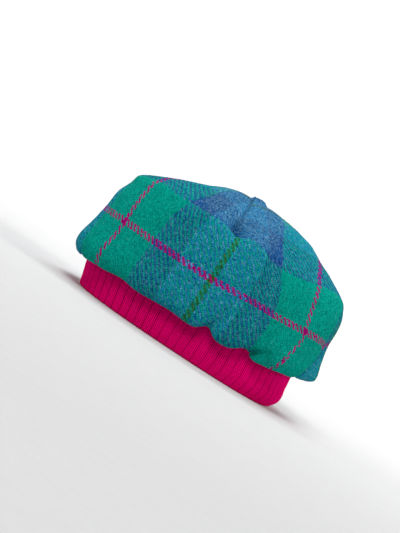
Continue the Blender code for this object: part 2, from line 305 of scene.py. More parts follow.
WALL_ROWS = (
    CrownRow("lower_wall", 1.000, 1.000, 0.950, 0.083, 2.35, -0.11, -0.02, 0.01, 0.35, 0.90, 0.0, 1.0),
    CrownRow("wall_1", 0.969, 0.995, 0.944, 0.075, 2.35, 0.15, 0.17, 0.17, 0.12, 0.55, 0.0, 0.6),
    CrownRow("wall_2", 0.948, 0.978, 0.938, 0.050, 2.35, 0.39, 0.41, 0.37, 0.03, 0.22, 0.0, 0.22),
    CrownRow("wall_3", 0.934, 0.957, 0.932, 0.020, 2.35, 0.59, 0.65, 0.62, 0.00, 0.06, 0.0, 0.18),
    CrownRow("wall_4", 0.894, 0.918, 0.909, -0.034, 2.30, 0.76, 0.85, 0.82, 0.00, 0.00, 0.2, 0.12),
    CrownRow("shoulder", 0.876, 0.859, 0.859, -0.060, 2.25, 0.88, 1.00, 0.96, 0.00, 0.00, 0.8, 0.0),
)

TOP_ROWS = (
    CrownRow("top_1", 0.814, 0.761, 0.776, -0.075, 2.20, -0.10, 0.21, 0.11, 0.00, 0.00, 1.0, 0.0),
    CrownRow("top_2", 0.643, 0.598, 0.610, -0.080, 2.15, 0.21, 0.52, 0.43, 0.00, 0.00, 1.0, 0.0),
    CrownRow("top_3", 0.415, 0.402, 0.398, -0.083, 2.10, 0.575, 0.83, 0.78, 0.00, 0.00, 0.8, 0.0),
    CrownRow("top_4", 0.290, 0.207, 0.150, -0.084, 2.00, 0.79, 0.95, 0.95, 0.00, 0.00, 0.4, 0.0),
    CrownRow("top_5", 0.174, 0.087, -0.002, -0.086, 2.00, 0.91, 0.95, 0.96, 0.00, 0.00, 0.2, 0.0),
    CrownRow("middle", 0.088, 0.000, -0.088, -0.088, 2.00, 0.94, 0.94, 0.94, 0.00, 0.00, 0.1, 0.0),
)

GUSSET_ROWS = (
    GussetRow("seam", 0.75, 0.95),
    GussetRow("fold", 0.78, 1.00),
    GussetRow("lower_wall", 0.78, 1.00),
    GussetRow("wall_1", 0.70, 0.76),
    GussetRow("wall_2", 0.60, 0.45),
    GussetRow("wall_3", 0.48, 0.30),
    GussetRow("wall_4", 0.33, 0.22),
    GussetRow("shoulder", 0.22, 0.17),
    GussetRow("top_2", 0.07, 0.07),
    GussetRow("top_3", 0.00, 0.00),
)

TUCKS = (
    Tuck(1, -0.560, 0.13, 0.10, 0.80, 0.80, 0.00),
    Tuck(1, -0.155, 0.07, 0.05, 0.90, 0.90, 0.00),
    Tuck(1, 0.136, 0.40, 0.30, 0.56, 0.60, 0.20),
    Tuck(1, 0.433, 0.40, 0.34, 0.80, 0.55, 0.45),
    Tuck(-1, -0.400, 0.36, 0.26, 0.80, 0.60, 0.20),
    Tuck(-1, 0.050, 0.20, 0.20, 0.90, 0.90, 0.00),
    Tuck(-1, 0.500, 0.40, 0.32, 0.60, 0.80, 0.40),
)

FOLDS = (
    Fold(1, 52.5, 33.2, 60.0, 38.6, 5.6, 1.7, 4.0, 3.0),
    Fold(1, 57.0, 34.5, 67.0, 41.0, 4.2, 3.0, 9.0, 6.0),
    Fold(1, 14.8, 33.5, 16.4, 37.0, 2.0, 1.6, 2.2, 2.6),
    Fold(1, 16.0, 36.0, 18.0, 42.0, 0.7, 4.0, 5.0, 5.0),
    Fold(-1, 60.0, 34.0, 68.0, 44.0, 2.4, 2.0, 10.0, 6.0),
    Fold(-1, -47.0, 32.0, -43.0, 42.0, 1.2, 4.0, 4.0, 5.0),
)

# The gathers at the band draw the plaid of the left panel off straight
LEFT_WARPS = (
    WarpRow(-45.0, -96.0, -61.0, -32.0, -1.0, 34.0, 65.0, 92.0),
    WarpRow(-20.0, -92.5, -59.0, -31.0, 0.0, 33.0, 62.0, 92.0),
    WarpRow(0.0, -92.0, -58.0, -31.0, 0.0, 32.0, 59.0, 96.0),
    WarpRow(20.0, -92.0, -56.0, -32.0, 0.0, 31.0, 53.0, 87.0),
    WarpRow(40.0, -93.0, -53.0, -31.0, 0.0, 29.5, 44.0, 83.0),
    WarpRow(50.0, -95.0, -52.0, -31.0, -1.0, 29.0, 43.0, 83.5),
    WarpRow(60.0, -99.0, -51.0, -32.0, -7.0, 28.5, 42.0, 85.0),
    WarpRow(80.0, -101.0, -54.0, -34.0, -8.0, 27.0, 43.0, 91.0),
    WarpRow(105.0, -100.0, -55.0, -36.0, -10.0, 24.0, 46.0, 97.0),
)

LEFT_WEFTS = (
    WeftRow(-127.0, 3.0, 50.0, 121.0),
    WeftRow(-93.0, -1.0, 46.0, 118.0),
    WeftRow(-60.0, -3.0, 39.5, 112.0),
    WeftRow(-47.0, -3.0, 42.0, 112.0),
    WeftRow(-31.0, -2.7, 44.0, 112.0),
    WeftRow(-20.0, -2.4, 47.5, 109.0),
    WeftRow(-9.0, -2.2, 50.5, 107.0),
    WeftRow(5.0, -1.8, 50.0, 106.0),
    WeftRow(15.0, -1.1, 49.0, 106.0),
    WeftRow(25.0, -0.5, 44.7, 107.0),
    WeftRow(31.0, 0.3, 40.0, 108.0),
    WeftRow(45.0, 1.3, 37.5, 113.0),
    WeftRow(60.0, 2.0, 39.0, 113.0),
    WeftRow(76.0, 4.5, 44.0, 118.0),
    WeftRow(96.0, 9.0, 53.0, 125.0),
    WeftRow(126.0, 15.7, 63.0, 135.0),
)


@dataclass(frozen=True)
class BandShape:
    """The band's outer face before its ribs are drawn in."""

    length: float = 0.206
    width: float = 0.158
    height: float = 0.046
    wall: float = 0.004
    widest: float = 0.010

    def value(self, height: np.ndarray, key: str) -> np.ndarray:
        """A column of the band's rows, read at a height above the rim."""
        column = [getattr(row, key) for row in BAND_ROWS]
        return through([row.height for row in BAND_ROWS], column, np.asarray(height) / self.height)

    def reach(self, height: np.ndarray, key: str) -> np.ndarray:
        """How far the outer face reaches from the middle, at a height above the rim."""
        half = self.width / 2 if key == "side" else self.length / 2
        return half * self.value(height, key)

    def outline(self, azimuth: np.ndarray, height: float) -> tuple[np.ndarray, ...]:
        """The outer face at a height above the rim: x, y and the outward normal's x and y."""
        front, side, back = (self.reach(height, key) for key in ("front", "side", "back"))
        return oval(azimuth, front, side, back, self.widest, self.value(height, "square"))


@dataclass(frozen=True)
class CrownShape:
    """The crown's outer face as a function of the way round and the row."""

    band: BandShape = BandShape()
    end_overhang: float = 0.0175
    side_overhang: float = 0.0130
    wall_height: float = 0.071
    dome_rise: float = 0.031
    roll_drop: float = 0.017
    lap: float = 0.002
    clearance: float = 0.0003
    gusset_width: float = 0.080
    back_lobe: float = 0.006
    seam_depth: float = 0.0014
    seam_spread: float = 0.0040
    dart_depth: float = 0.0045
    dart_spread: float = 0.0080
    dart_rounding: float = 0.0010
    dimple_depth: float = 0.0095
    dimple_side: float = 0.0072
    dimple_above: float = 0.0110
    dimple_below: float = 0.0040
    dimple_rise: float = 0.0020
    peak_height: float = 0.0036
    peak_y: float = -0.0050
    peak_length: float = 0.0160
    peak_width: float = 0.0140
    tuck_spread: float = 0.0120
    azimuth_probe: float = 0.02
    row_probe: float = 0.08
    probe_margin: float = 0.15
    normal_margin: float = 0.30

    @property
    def half_length(self) -> float:
        """Half the crown's length, front to back."""
        return self.band.length / 2 + self.end_overhang

    @property
    def half_width(self) -> float:
        """Half the crown's width."""
        return self.band.width / 2 + self.side_overhang

    @property
    def seam_z(self) -> float:
        """Height of the seam between the crown and the band."""
        return self.band.height - self.lap

    @cached_property
    def names(self) -> tuple[str, ...]:
        """The rows' names, from the seam with the band to the middle of the top."""
        return tuple(row.name for row in ROLL_ROWS + WALL_ROWS + TOP_ROWS)

    @cached_property
    def rows(self) -> np.ndarray:
        """Every row as real places, with the roll fitted round the band.

        Returns:
            A row for each line round the crown, with the columns that CrownRow has after its name.
        """
        table = []
        wall = WALL_ROWS[0]
        for row in ROLL_ROWS:
            reaches, heights = {}, {}
            for key, half in (("front", self.half_length), ("side", self.half_width),
                              ("back", self.half_length)):
                heights[key] = self.seam_z - self.roll_drop * getattr(row, key + "_drop")
                face = self.band.reach(heights[key], key) + self.clearance
                reaches[key] = face + row.out * (half * getattr(wall, key) - face)
            table.append((reaches["front"], reaches["side"], reaches["back"], self.band.widest,
                          float(self.band.value(heights["side"], "square")), heights["front"],
                          heights["side"], heights["back"], row.side_drop, row.out, 0.0, row.lobe))
        shoulder_z = self.seam_z + self.wall_height
        for rows, base, rise in ((WALL_ROWS, self.seam_z, self.wall_height),
                                 (TOP_ROWS, shoulder_z, self.dome_rise)):
            for row in rows:
                table.append((row.front * self.half_length, row.side * self.half_width,
                              row.back * self.half_length, row.widest * self.half_length, row.square,
                              base + rise * row.front_z, base + rise * row.side_z,
                              base + rise * row.back_z, row.lift, row.pull, row.dart, row.lobe))
        return np.array(table)

    @cached_property
    def knots(self) -> np.ndarray:
        """Distance of each row along the side profile, from the seam."""
        steps = np.hypot(np.diff(self.column("side")), np.diff(self.column("side_z")))
        return np.concatenate(([0.0], np.cumsum(steps)))

    def column(self, key: str) -> np.ndarray:
        """One column of the rows, by its name in CrownRow."""
        return self.rows[:, CrownRow._fields.index(key) - 1]

    def read(self, key: str, at: np.ndarray) -> np.ndarray:
        """One column, read at distances along the side profile."""
        return through(self.knots, self.column(key), at)

    def station(self, name: str) -> int:
        """A row's place in the order of rows."""
        return self.names.index(name)

    def distance(self, station: np.ndarray) -> np.ndarray:
        """Distance along the side profile of a station, which counts rows from the seam."""
        return np.interp(station, np.arange(len(self.knots)), self.knots)

    def stations(self, last: float, count: int) -> np.ndarray:
        """Stations from the seam up to last, at even distances."""
        distances = np.linspace(0, self.distance(last), count)
        return np.interp(distances, self.knots, np.arange(len(self.knots)))

    def gusset_half(self, station: np.ndarray, end: int) -> np.ndarray:
        """Half the gusset's width.

        Args:
            station: row, counted from the seam with the band.
            end: 0 for the front gusset and 1 for the back one.

        Returns:
            One half width for each station.
        """
        stations = [self.station(row.name) for row in GUSSET_ROWS]
        shares = [row.back if end else row.front for row in GUSSET_ROWS]
        return self.gusset_width / 2 * np.interp(station, stations, shares)

    def freedom(self, station: np.ndarray) -> np.ndarray:
        """0 where the band holds the cloth and 1 from the fold up, where it is free."""
        return smooth_step(self.station("lap"), self.station("fold"), station)

    def edge_azimuth(self, station: np.ndarray, end: int, offset: float) -> np.ndarray:
        """Way round, on the wearer's left, to a line beside the gusset's edge.

        Args:
            station: row, counted from the seam with the band.
            end: 0 for the front gusset and 1 for the back one.
            offset: how far beyond the edge the line runs.

        Returns:
            One azimuth for each station.
        """
        at = self.distance(station)
        side = np.maximum(self.read("side", at), LEAST_WIDTH)
        square = self.read("square", at)
        across = np.clip((self.gusset_half(station, end) + offset) / side, 0.0, 0.999)
        angle = np.arctan2((1 - across**square) ** (1 / square), across)
        return angle if end else -angle

    def base(self, azimuth: np.ndarray, station: np.ndarray) -> np.ndarray:
        """The outer face with its tucks and back lobe, before the seams pull it in.

        Args:
            azimuth: way round, 0 on the wearer's left and a quarter turn at the back.
            station: row, counted from the seam with the band.

        Returns:
            Points in the hat's frame.
        """
        at = self.distance(station)
        front, side, back, widest, square, front_z, side_z, back_z, lift, pull, _, lobe = (
            self.read(key, at) for key in CrownRow._fields[1:])
        x, y, out_x, out_y = oval(azimuth, front, np.maximum(side, 0.0), back, widest, square)
        end_z = np.where(np.sin(azimuth) > 0, back_z, front_z)
        z = side_z * np.cos(azimuth) ** 2 + end_z * np.sin(azimuth) ** 2
        risen = np.zeros_like(x)
        pulled = np.zeros_like(x)
        for tuck in TUCKS:
            offset = y - tuck.along * self.half_length - tuck.lean * (z - self.seam_z + self.roll_drop)
            spread = self.tuck_spread * np.where(offset < 0, tuck.before, tuck.after)
            shape = np.exp(-(offset / spread) ** 2) * (x * tuck.side > 0)
            risen += tuck.rise * shape
            pulled += tuck.pull * shape
        half_gusset = self.gusset_half(station, 1)
        across = np.clip(x / np.maximum(half_gusset, LEAST_WIDTH), -1, 1)
        bulge = self.back_lobe * lobe * np.cos(math.pi / 2 * across) ** 2 * (np.sin(azimuth) > 0.5)
        move = bulge - self.side_overhang * pull * pulled
        return np.stack([x + out_x * move, y + out_y * move, z + self.roll_drop * lift * risen], axis=-1)

    def normals(self, azimuth: np.ndarray, station: np.ndarray) -> np.ndarray:
        """Outward unit normals of the base, from its slopes over a small step.

        Args:
            azimuth: way round, 0 on the wearer's left and a quarter turn at the back.
            station: row, counted from the seam with the band.

        Returns:
            One unit vector for each point.
        """
        high_end = self.station("middle") - self.probe_margin
        low = np.maximum(station - self.row_probe, 0)
        high = np.minimum(station + self.row_probe, high_end)
        low = np.minimum(low, high - self.row_probe)
        probe = self.azimuth_probe
        around = self.base(azimuth + probe, station) - self.base(azimuth - probe, station)
        along = self.base(azimuth, high) - self.base(azimuth, low)
        normal = np.cross(around, along)
        return normal / (np.linalg.norm(normal, axis=-1, keepdims=True) + 1e-15)

    def folded(self, points: np.ndarray, on_wall: np.ndarray) -> np.ndarray:
        """How deep the pressed folds go at each point of the crown.

        Args:
            points: places on the crown.
            on_wall: 0 where the cloth is held by the band and 1 where it is free to fold.

        Returns:
            Depths, level and towards the middle of the hat.
        """
        depth = np.zeros(points.shape[:-1])
        for fold in FOLDS:
            run = np.array([fold.high_y - fold.low_y, fold.high_z - fold.low_z]) * MM
            length = float(np.hypot(*run))
            run /= length
            y, z = points[..., 1] - fold.low_y * MM, points[..., 2] - fold.low_z * MM
            along = y * run[0] + z * run[1]
            across = y * run[1] - z * run[0]
            past = np.maximum(np.maximum(-along, along - length), 0.0)
            spread = np.where(across < 0, fold.before, fold.after) * MM
            shape = np.exp(-(across / spread) ** 2 - (past / (fold.end * MM)) ** 2)
            depth += fold.depth * MM * shape * (points[..., 0] * fold.side > 0)
        return depth * on_wall

    def face(self, azimuth: np.ndarray, station: np.ndarray) -> np.ndarray:
        """The crown's finished outer face.

        Args:
            azimuth: way round, 0 on the wearer's left and a quarter turn at the back.
            station: row, counted from the seam with the band.

        Returns:
            Points in the hat's frame.
        """
        azimuth, station = np.broadcast_arrays(np.asarray(azimuth, float), np.asarray(station, float))
        points = self.base(azimuth, station)
        normal = self.normals(azimuth, np.minimum(station, self.station("middle") - self.normal_margin))
        x, y = points[..., 0], points[..., 1]
        at = self.distance(station)
        dart, widest = self.read("dart", at), self.read("widest", at)
        from_dart = np.hypot(y - widest, self.dart_rounding) - self.dart_rounding
        in_dart = dart * np.exp(-from_dart / self.dart_spread)
        ends = np.where(np.sin(azimuth) > 0, self.gusset_half(station, 1), self.gusset_half(station, 0))
        on_wall = self.freedom(station)
        in_seam = np.exp(-((np.abs(x) - ends) / self.seam_spread) ** 2) * np.sin(azimuth) ** 2 * on_wall
        rise = at - self.knots[self.station("shoulder")] - self.dimple_rise
        reach = np.where(rise > 0, self.dimple_above, self.dimple_below)
        in_dimple = np.exp(-((y - widest) / self.dimple_side) ** 2 - (rise / reach) ** 2)
        depth = (self.dart_depth * in_dart + self.seam_depth * in_seam * (1 - in_dart)
                 + self.dimple_depth * in_dimple)
        in_fold = self.folded(points, on_wall)
        points = points - normal * depth[..., None]
        points[..., 0] -= np.sign(x) * in_fold
        beside = (y - self.peak_y) / (self.peak_length / 2)
        peak = self.peak_height * np.exp(-(beside**2 + (x / (self.peak_width / 2)) ** 2) ** 3)
        points[..., 2] += peak * (station > self.station("top_2"))
        return points


@dataclass
class Flattening:
    """Lays curved cloth flat, triangle by triangle, with as little stretch as its cuts allow."""

    points: np.ndarray
    triangles: np.ndarray
    rounds: int = 160
    least_weight: float = 0.02
    most_weight: float = 20.0

    def solve(self, start: np.ndarray) -> np.ndarray:
        """Find the flat places of the points.

        Args:
            start: a first guess, with every triangle turned the same way as in the answer.

        Returns:
            One flat place for each point, in metres.
        """
        corners = self.points[self.triangles]
        first, second = corners[:, 1] - corners[:, 0], corners[:, 2] - corners[:, 0]
        length = np.linalg.norm(first, axis=1) + 1e-12
        along = (first * second).sum(axis=1) / length
        height = np.sqrt(np.maximum((second**2).sum(axis=1) - along**2, 1e-16))
        local = np.zeros((len(corners), 3, 2))
        local[:, 1, 0] = length
        local[:, 2] = np.stack([along, height], axis=1)
        tails, heads, across = [0, 1, 2], [1, 2, 0], [2, 0, 1]
        edges = local[:, heads] - local[:, tails]
        to_tail, to_head = local[:, tails] - local[:, across], local[:, heads] - local[:, across]
        turned = np.abs(to_tail[..., 0] * to_head[..., 1] - to_tail[..., 1] * to_head[..., 0]) + 1e-16
        weights = np.clip((to_tail * to_head).sum(axis=2) / turned, self.least_weight, self.most_weight)
        tail, head = self.triangles[:, tails], self.triangles[:, heads]
        count = len(self.points)
        system = np.zeros((count, count))
        np.add.at(system, (tail, tail), weights)
        np.add.at(system, (head, head), weights)
        np.add.at(system, (tail, head), -weights)
        np.add.at(system, (head, tail), -weights)
        system[0, 0] += 1.0
        inverse = np.linalg.inv(system)
        flat = start.copy()
        for _ in range(self.rounds):
            now = flat[head] - flat[tail]
            cosine = (weights * (now * edges).sum(axis=2)).sum(axis=1)
            sine = (weights * (edges[..., 0] * now[..., 1] - edges[..., 1] * now[..., 0])).sum(axis=1)
            size = np.hypot(cosine, sine) + 1e-20
            cosine, sine = (cosine / size)[:, None], (sine / size)[:, None]
            turned_edges = np.stack([cosine * edges[..., 0] - sine * edges[..., 1],
                                     sine * edges[..., 0] + cosine * edges[..., 1]], axis=2)
            pull = weights[..., None] * turned_edges
            target = np.zeros((count, 2))
            np.add.at(target, head, pull)
            np.add.at(target, tail, -pull)
            target[0] += start[0]
            flat = inverse @ target
        return flat


class Sock:
    """A node's output that takes part in Python sums, which add Math nodes."""

    def __init__(self, shop: "NodeShop", socket: bpy.types.NodeSocket) -> None:
        """Hold an output and the shop that makes the nodes after it."""
        self.shop = shop
        self.socket = socket

    def _sum(self, operation: str, first: "Sock | float", second: "Sock | float") -> "Sock":
        """Add one Math node to the tree."""
        return self.shop.maths(operation, first, second)

    def __add__(self, other: "Sock | float") -> "Sock":
        """self + other."""
        return self._sum("ADD", self, other)

    __radd__ = __add__

    def __sub__(self, other: "Sock | float") -> "Sock":
        """self - other."""
        return self._sum("SUBTRACT", self, other)

    def __rsub__(self, other: "Sock | float") -> "Sock":
        """other - self."""
        return self._sum("SUBTRACT", other, self)

    def __mul__(self, other: "Sock | float") -> "Sock":
        """self * other."""
        return self._sum("MULTIPLY", self, other)

    __rmul__ = __mul__

    def __mod__(self, other: "Sock | float") -> "Sock":
        """What is left of self over whole steps of other, from 0 up."""
        return self._sum("FLOORED_MODULO", self, other)

    def __lt__(self, other: "Sock | float") -> "Sock":
        """1 where self is less than other, else 0."""
        return self._sum("LESS_THAN", self, other)

    def __pow__(self, other: "Sock | float") -> "Sock":
        """self to the power of other."""
        return self._sum("POWER", self, other)


class NodeShop:
    """Makes the nodes of one tree, of a material or of a geometry modifier."""

    def __init__(self, tree: bpy.types.NodeTree) -> None:
        """Work on one tree."""
        self.tree = tree

    def node(self, kind: str, settings: dict | None = None, sockets: dict | None = None) -> bpy.types.Node:
        """Make a node.

        Args:
            kind: the node's type.
            settings: properties that are set first. stops holds a ramp's (place, colour) pairs.
            sockets: values or links, by the input's name or number.

        Returns:
            The node.
        """
        made = self.tree.nodes.new(kind)
        for key, value in (settings or {}).items():
            if key == "stops":
                self._set_stops(made.color_ramp, value)
            else:
                setattr(made, key, value)
        for key, value in (sockets or {}).items():
            if isinstance(value, Sock):
                self.tree.links.new(value.socket, made.inputs[key])
            else:
                made.inputs[key].default_value = value
        return made

    def take(self, kind: str, settings: dict | None = None, sockets: dict | None = None,
             output: int | str = 0) -> Sock:
        """Make a node and wrap one of its outputs."""
        return Sock(self, self.node(kind, settings, sockets).outputs[output])

    def maths(self, operation: str, *values: "Sock | float") -> Sock:
        """Make a Math node on up to three values."""
        return self.take("ShaderNodeMath", {"operation": operation}, dict(enumerate(values)))

    def vector(self, x: "Sock | float", y: "Sock | float", z: "Sock | float" = 0.0) -> Sock:
        """Join three values into a vector."""
        return self.take("ShaderNodeCombineXYZ", None, {"X": x, "Y": y, "Z": z})

    def scaled(self, vector: Sock, factor: "Sock | float") -> Sock:
        """A vector times a value."""
        return self.take("ShaderNodeVectorMath", {"operation": "SCALE"}, {0: vector, "Scale": factor})

    def split(self, vector: Sock) -> tuple[Sock, Sock, Sock]:
        """A vector's three values."""
        parts = self.node("ShaderNodeSeparateXYZ", None, {"Vector": vector})
        return tuple(Sock(self, socket) for socket in parts.outputs)

    def mix(self, share: "Sock | float", first: Sock, second: Sock) -> Sock:
        """A value between two values."""
        return first + share * (second - first)

    def colour(self, share: "Sock | float", first: "Sock | tuple", second: "Sock | tuple",
               blend: str = "MIX") -> Sock:
        """A colour between two colours."""
        settings = {"data_type": "RGBA", "blend_type": blend, "clamp_factor": True}
        return self.take("ShaderNodeMix", settings, {0: share, 6: first, 7: second}, 2)

    def shaded(self, colour: Sock, shade: Sock) -> Sock:
        """A colour times a value."""
        return self.colour(1.0, colour, self.vector(shade, shade, shade), "MULTIPLY")

    def ramp(self, at: Sock, stops: list[tuple[float, tuple]]) -> Sock:
        """Read a ramp of colours that meet without running into each other."""
        return self.take("ShaderNodeValToRGB", {"stops": stops}, {0: at})

    def step(self, at: Sock, low: float, high: float) -> Sock:
        """Run smoothly from 0 at low to 1 at high."""
        settings = {"interpolation_type": "SMOOTHSTEP"}
        return self.take("ShaderNodeMapRange", settings, {0: at, 1: low, 2: high, 3: 0.0, 4: 1.0})

    def noise(self, at: Sock, scale: float, detail: float = 2.0, rough: float = 0.5) -> Sock:
        """Soft noise between 0 and 1."""
        sockets = {"Vector": at, "Scale": scale, "Detail": detail, "Roughness": rough}
        return self.take("ShaderNodeTexNoise", None, sockets)

    @staticmethod
    def _set_stops(ramp: bpy.types.ColorRamp, stops: list[tuple[float, tuple]]) -> None:
        """Fill a colour ramp with colours that meet without running into each other.

        Args:
            ramp: the ramp.
            stops: for each stop, a place from 0 to 1 and a colour.
        """
        ramp.interpolation = "CONSTANT"
        while len(ramp.elements) < len(stops):
            ramp.elements.new(1.0)
        for element, (place, colour) in zip(ramp.elements, stops):
            element.position = place
            element.color = colour


class MaterialShop(NodeShop):
    """Makes one Principled material."""

    def __init__(self, name: str, constants: dict[str, float | tuple]) -> None:
        """Start a material.

        Args:
            name: the material's name.
            constants: what is the same all over, by the shader's socket.
        """
        self.material = bpy.data.materials.new(name)
        self.material.use_nodes = True
        super().__init__(self.material.node_tree)
        self.shader = self.tree.nodes["Principled BSDF"]
        for key, value in constants.items():
            self.shader.inputs[key].default_value = value

    def on_map(self, name: str) -> Sock:
        """Place on one of the piece's maps."""
        return self.take("ShaderNodeUVMap", {"uv_map": name})

    def on_hat(self) -> Sock:
        """Place in the hat's frame."""
        return self.take("ShaderNodeTexCoord", None, None, "Object")

    def drive(self, **links: Sock) -> None:
        """Link values to the shader's sockets, named with underscores for spaces."""
        for key, value in links.items():
            self.tree.links.new(value.socket, self.shader.inputs[key.replace("_", " ")])

    def bump(self, height: Sock, distance: float, strength: float, under: Sock | None = None) -> Sock:
        """A bumped normal, laid over another where one is given.

        Args:
            height: from 0 to 1.
            distance: how far 1 stands above 0, in metres.
            strength: share of the bump that shows.
            under: the normal that it lies on.

        Returns:
            The normal.
        """
        sockets = {"Height": height, "Distance": distance, "Strength": strength}
        if under is not None:
            sockets["Normal"] = under
        return self.take("ShaderNodeBump", None, sockets)


class Yarn(NamedTuple):
    """One colour of the plaid.

    ends is how many warp ends it fills in half a repeat. pale and deep are the colours of the
    flecks spun into it.
    """

    ends: int
    base: tuple[int, int, int]
    pale: tuple[int, int, int]
    deep: tuple[int, int, int]


OLIVE = Yarn(2, (34, 82, 16), (76, 98, 24), (16, 60, 24))
LIGHT = Yarn(22, (18, 108, 158), (104, 154, 188), (2, 60, 122))
DARK = Yarn(24, (18, 72, 129), (90, 126, 158), (4, 42, 94))
TEAL = Yarn(31, (1, 138, 122), (16, 156, 138), (0, 110, 103))
MAGENTA = Yarn(2, (148, 5, 100), (178, 36, 132), (108, 2, 82))
YARNS = (OLIVE, LIGHT, DARK, TEAL, MAGENTA)


class Weave(NamedTuple):
    """The cloth's make, in metres a thread and threads a half repeat."""

    end_pitch: float
    pick_pitch: float
    half_ends: int
    half_picks: int


TWILL = Weave(1.28 * MM, 1.50 * MM, sum(yarn.ends for yarn in YARNS), 79)


@dataclass(frozen=True)
class Plaid:
    """The plaid as it lies on a flat piece that the sewing has drawn off straight."""

    warps: tuple[WarpRow, ...]
    wefts: tuple[WeftRow, ...]
    weave: Weave = TWILL

    def places(self, flat: np.ndarray) -> np.ndarray:
        """Where in the plaid each point of the flat piece lies, from its olive and magenta lines.

        Args:
            flat: places on the flat piece.

        Returns:
            Places in the plaid, in metres along the weft and the warp.
        """
        olive, light, dark, teal, _ = (yarn.ends for yarn in YARNS)
        light_edge, teal_edge = olive + light, olive + light + dark
        ends = np.array([-self.weave.half_ends, -teal_edge, -light_edge, 0, light_edge, teal_edge,
                         self.weave.half_ends]) * self.weave.end_pitch
        picks = np.array([0, self.weave.half_picks * (teal + 2) / self.weave.half_ends,
                          self.weave.half_picks]) * self.weave.pick_pitch
        warps, wefts = np.array(self.warps) * MM, np.array(self.wefts) * MM
        across, up = flat[..., 0], flat[..., 1]
        ups = np.clip(up, warps[0, 0], warps[-1, 0])
        sides = np.clip(across, wefts[0, 0], wefts[-1, 0])
        return np.stack([between(across, through(warps[:, 0], warps[:, 1:], ups), ends),
                         between(up, through(wefts[:, 0], wefts[:, 1:], sides), picks)], axis=-1)


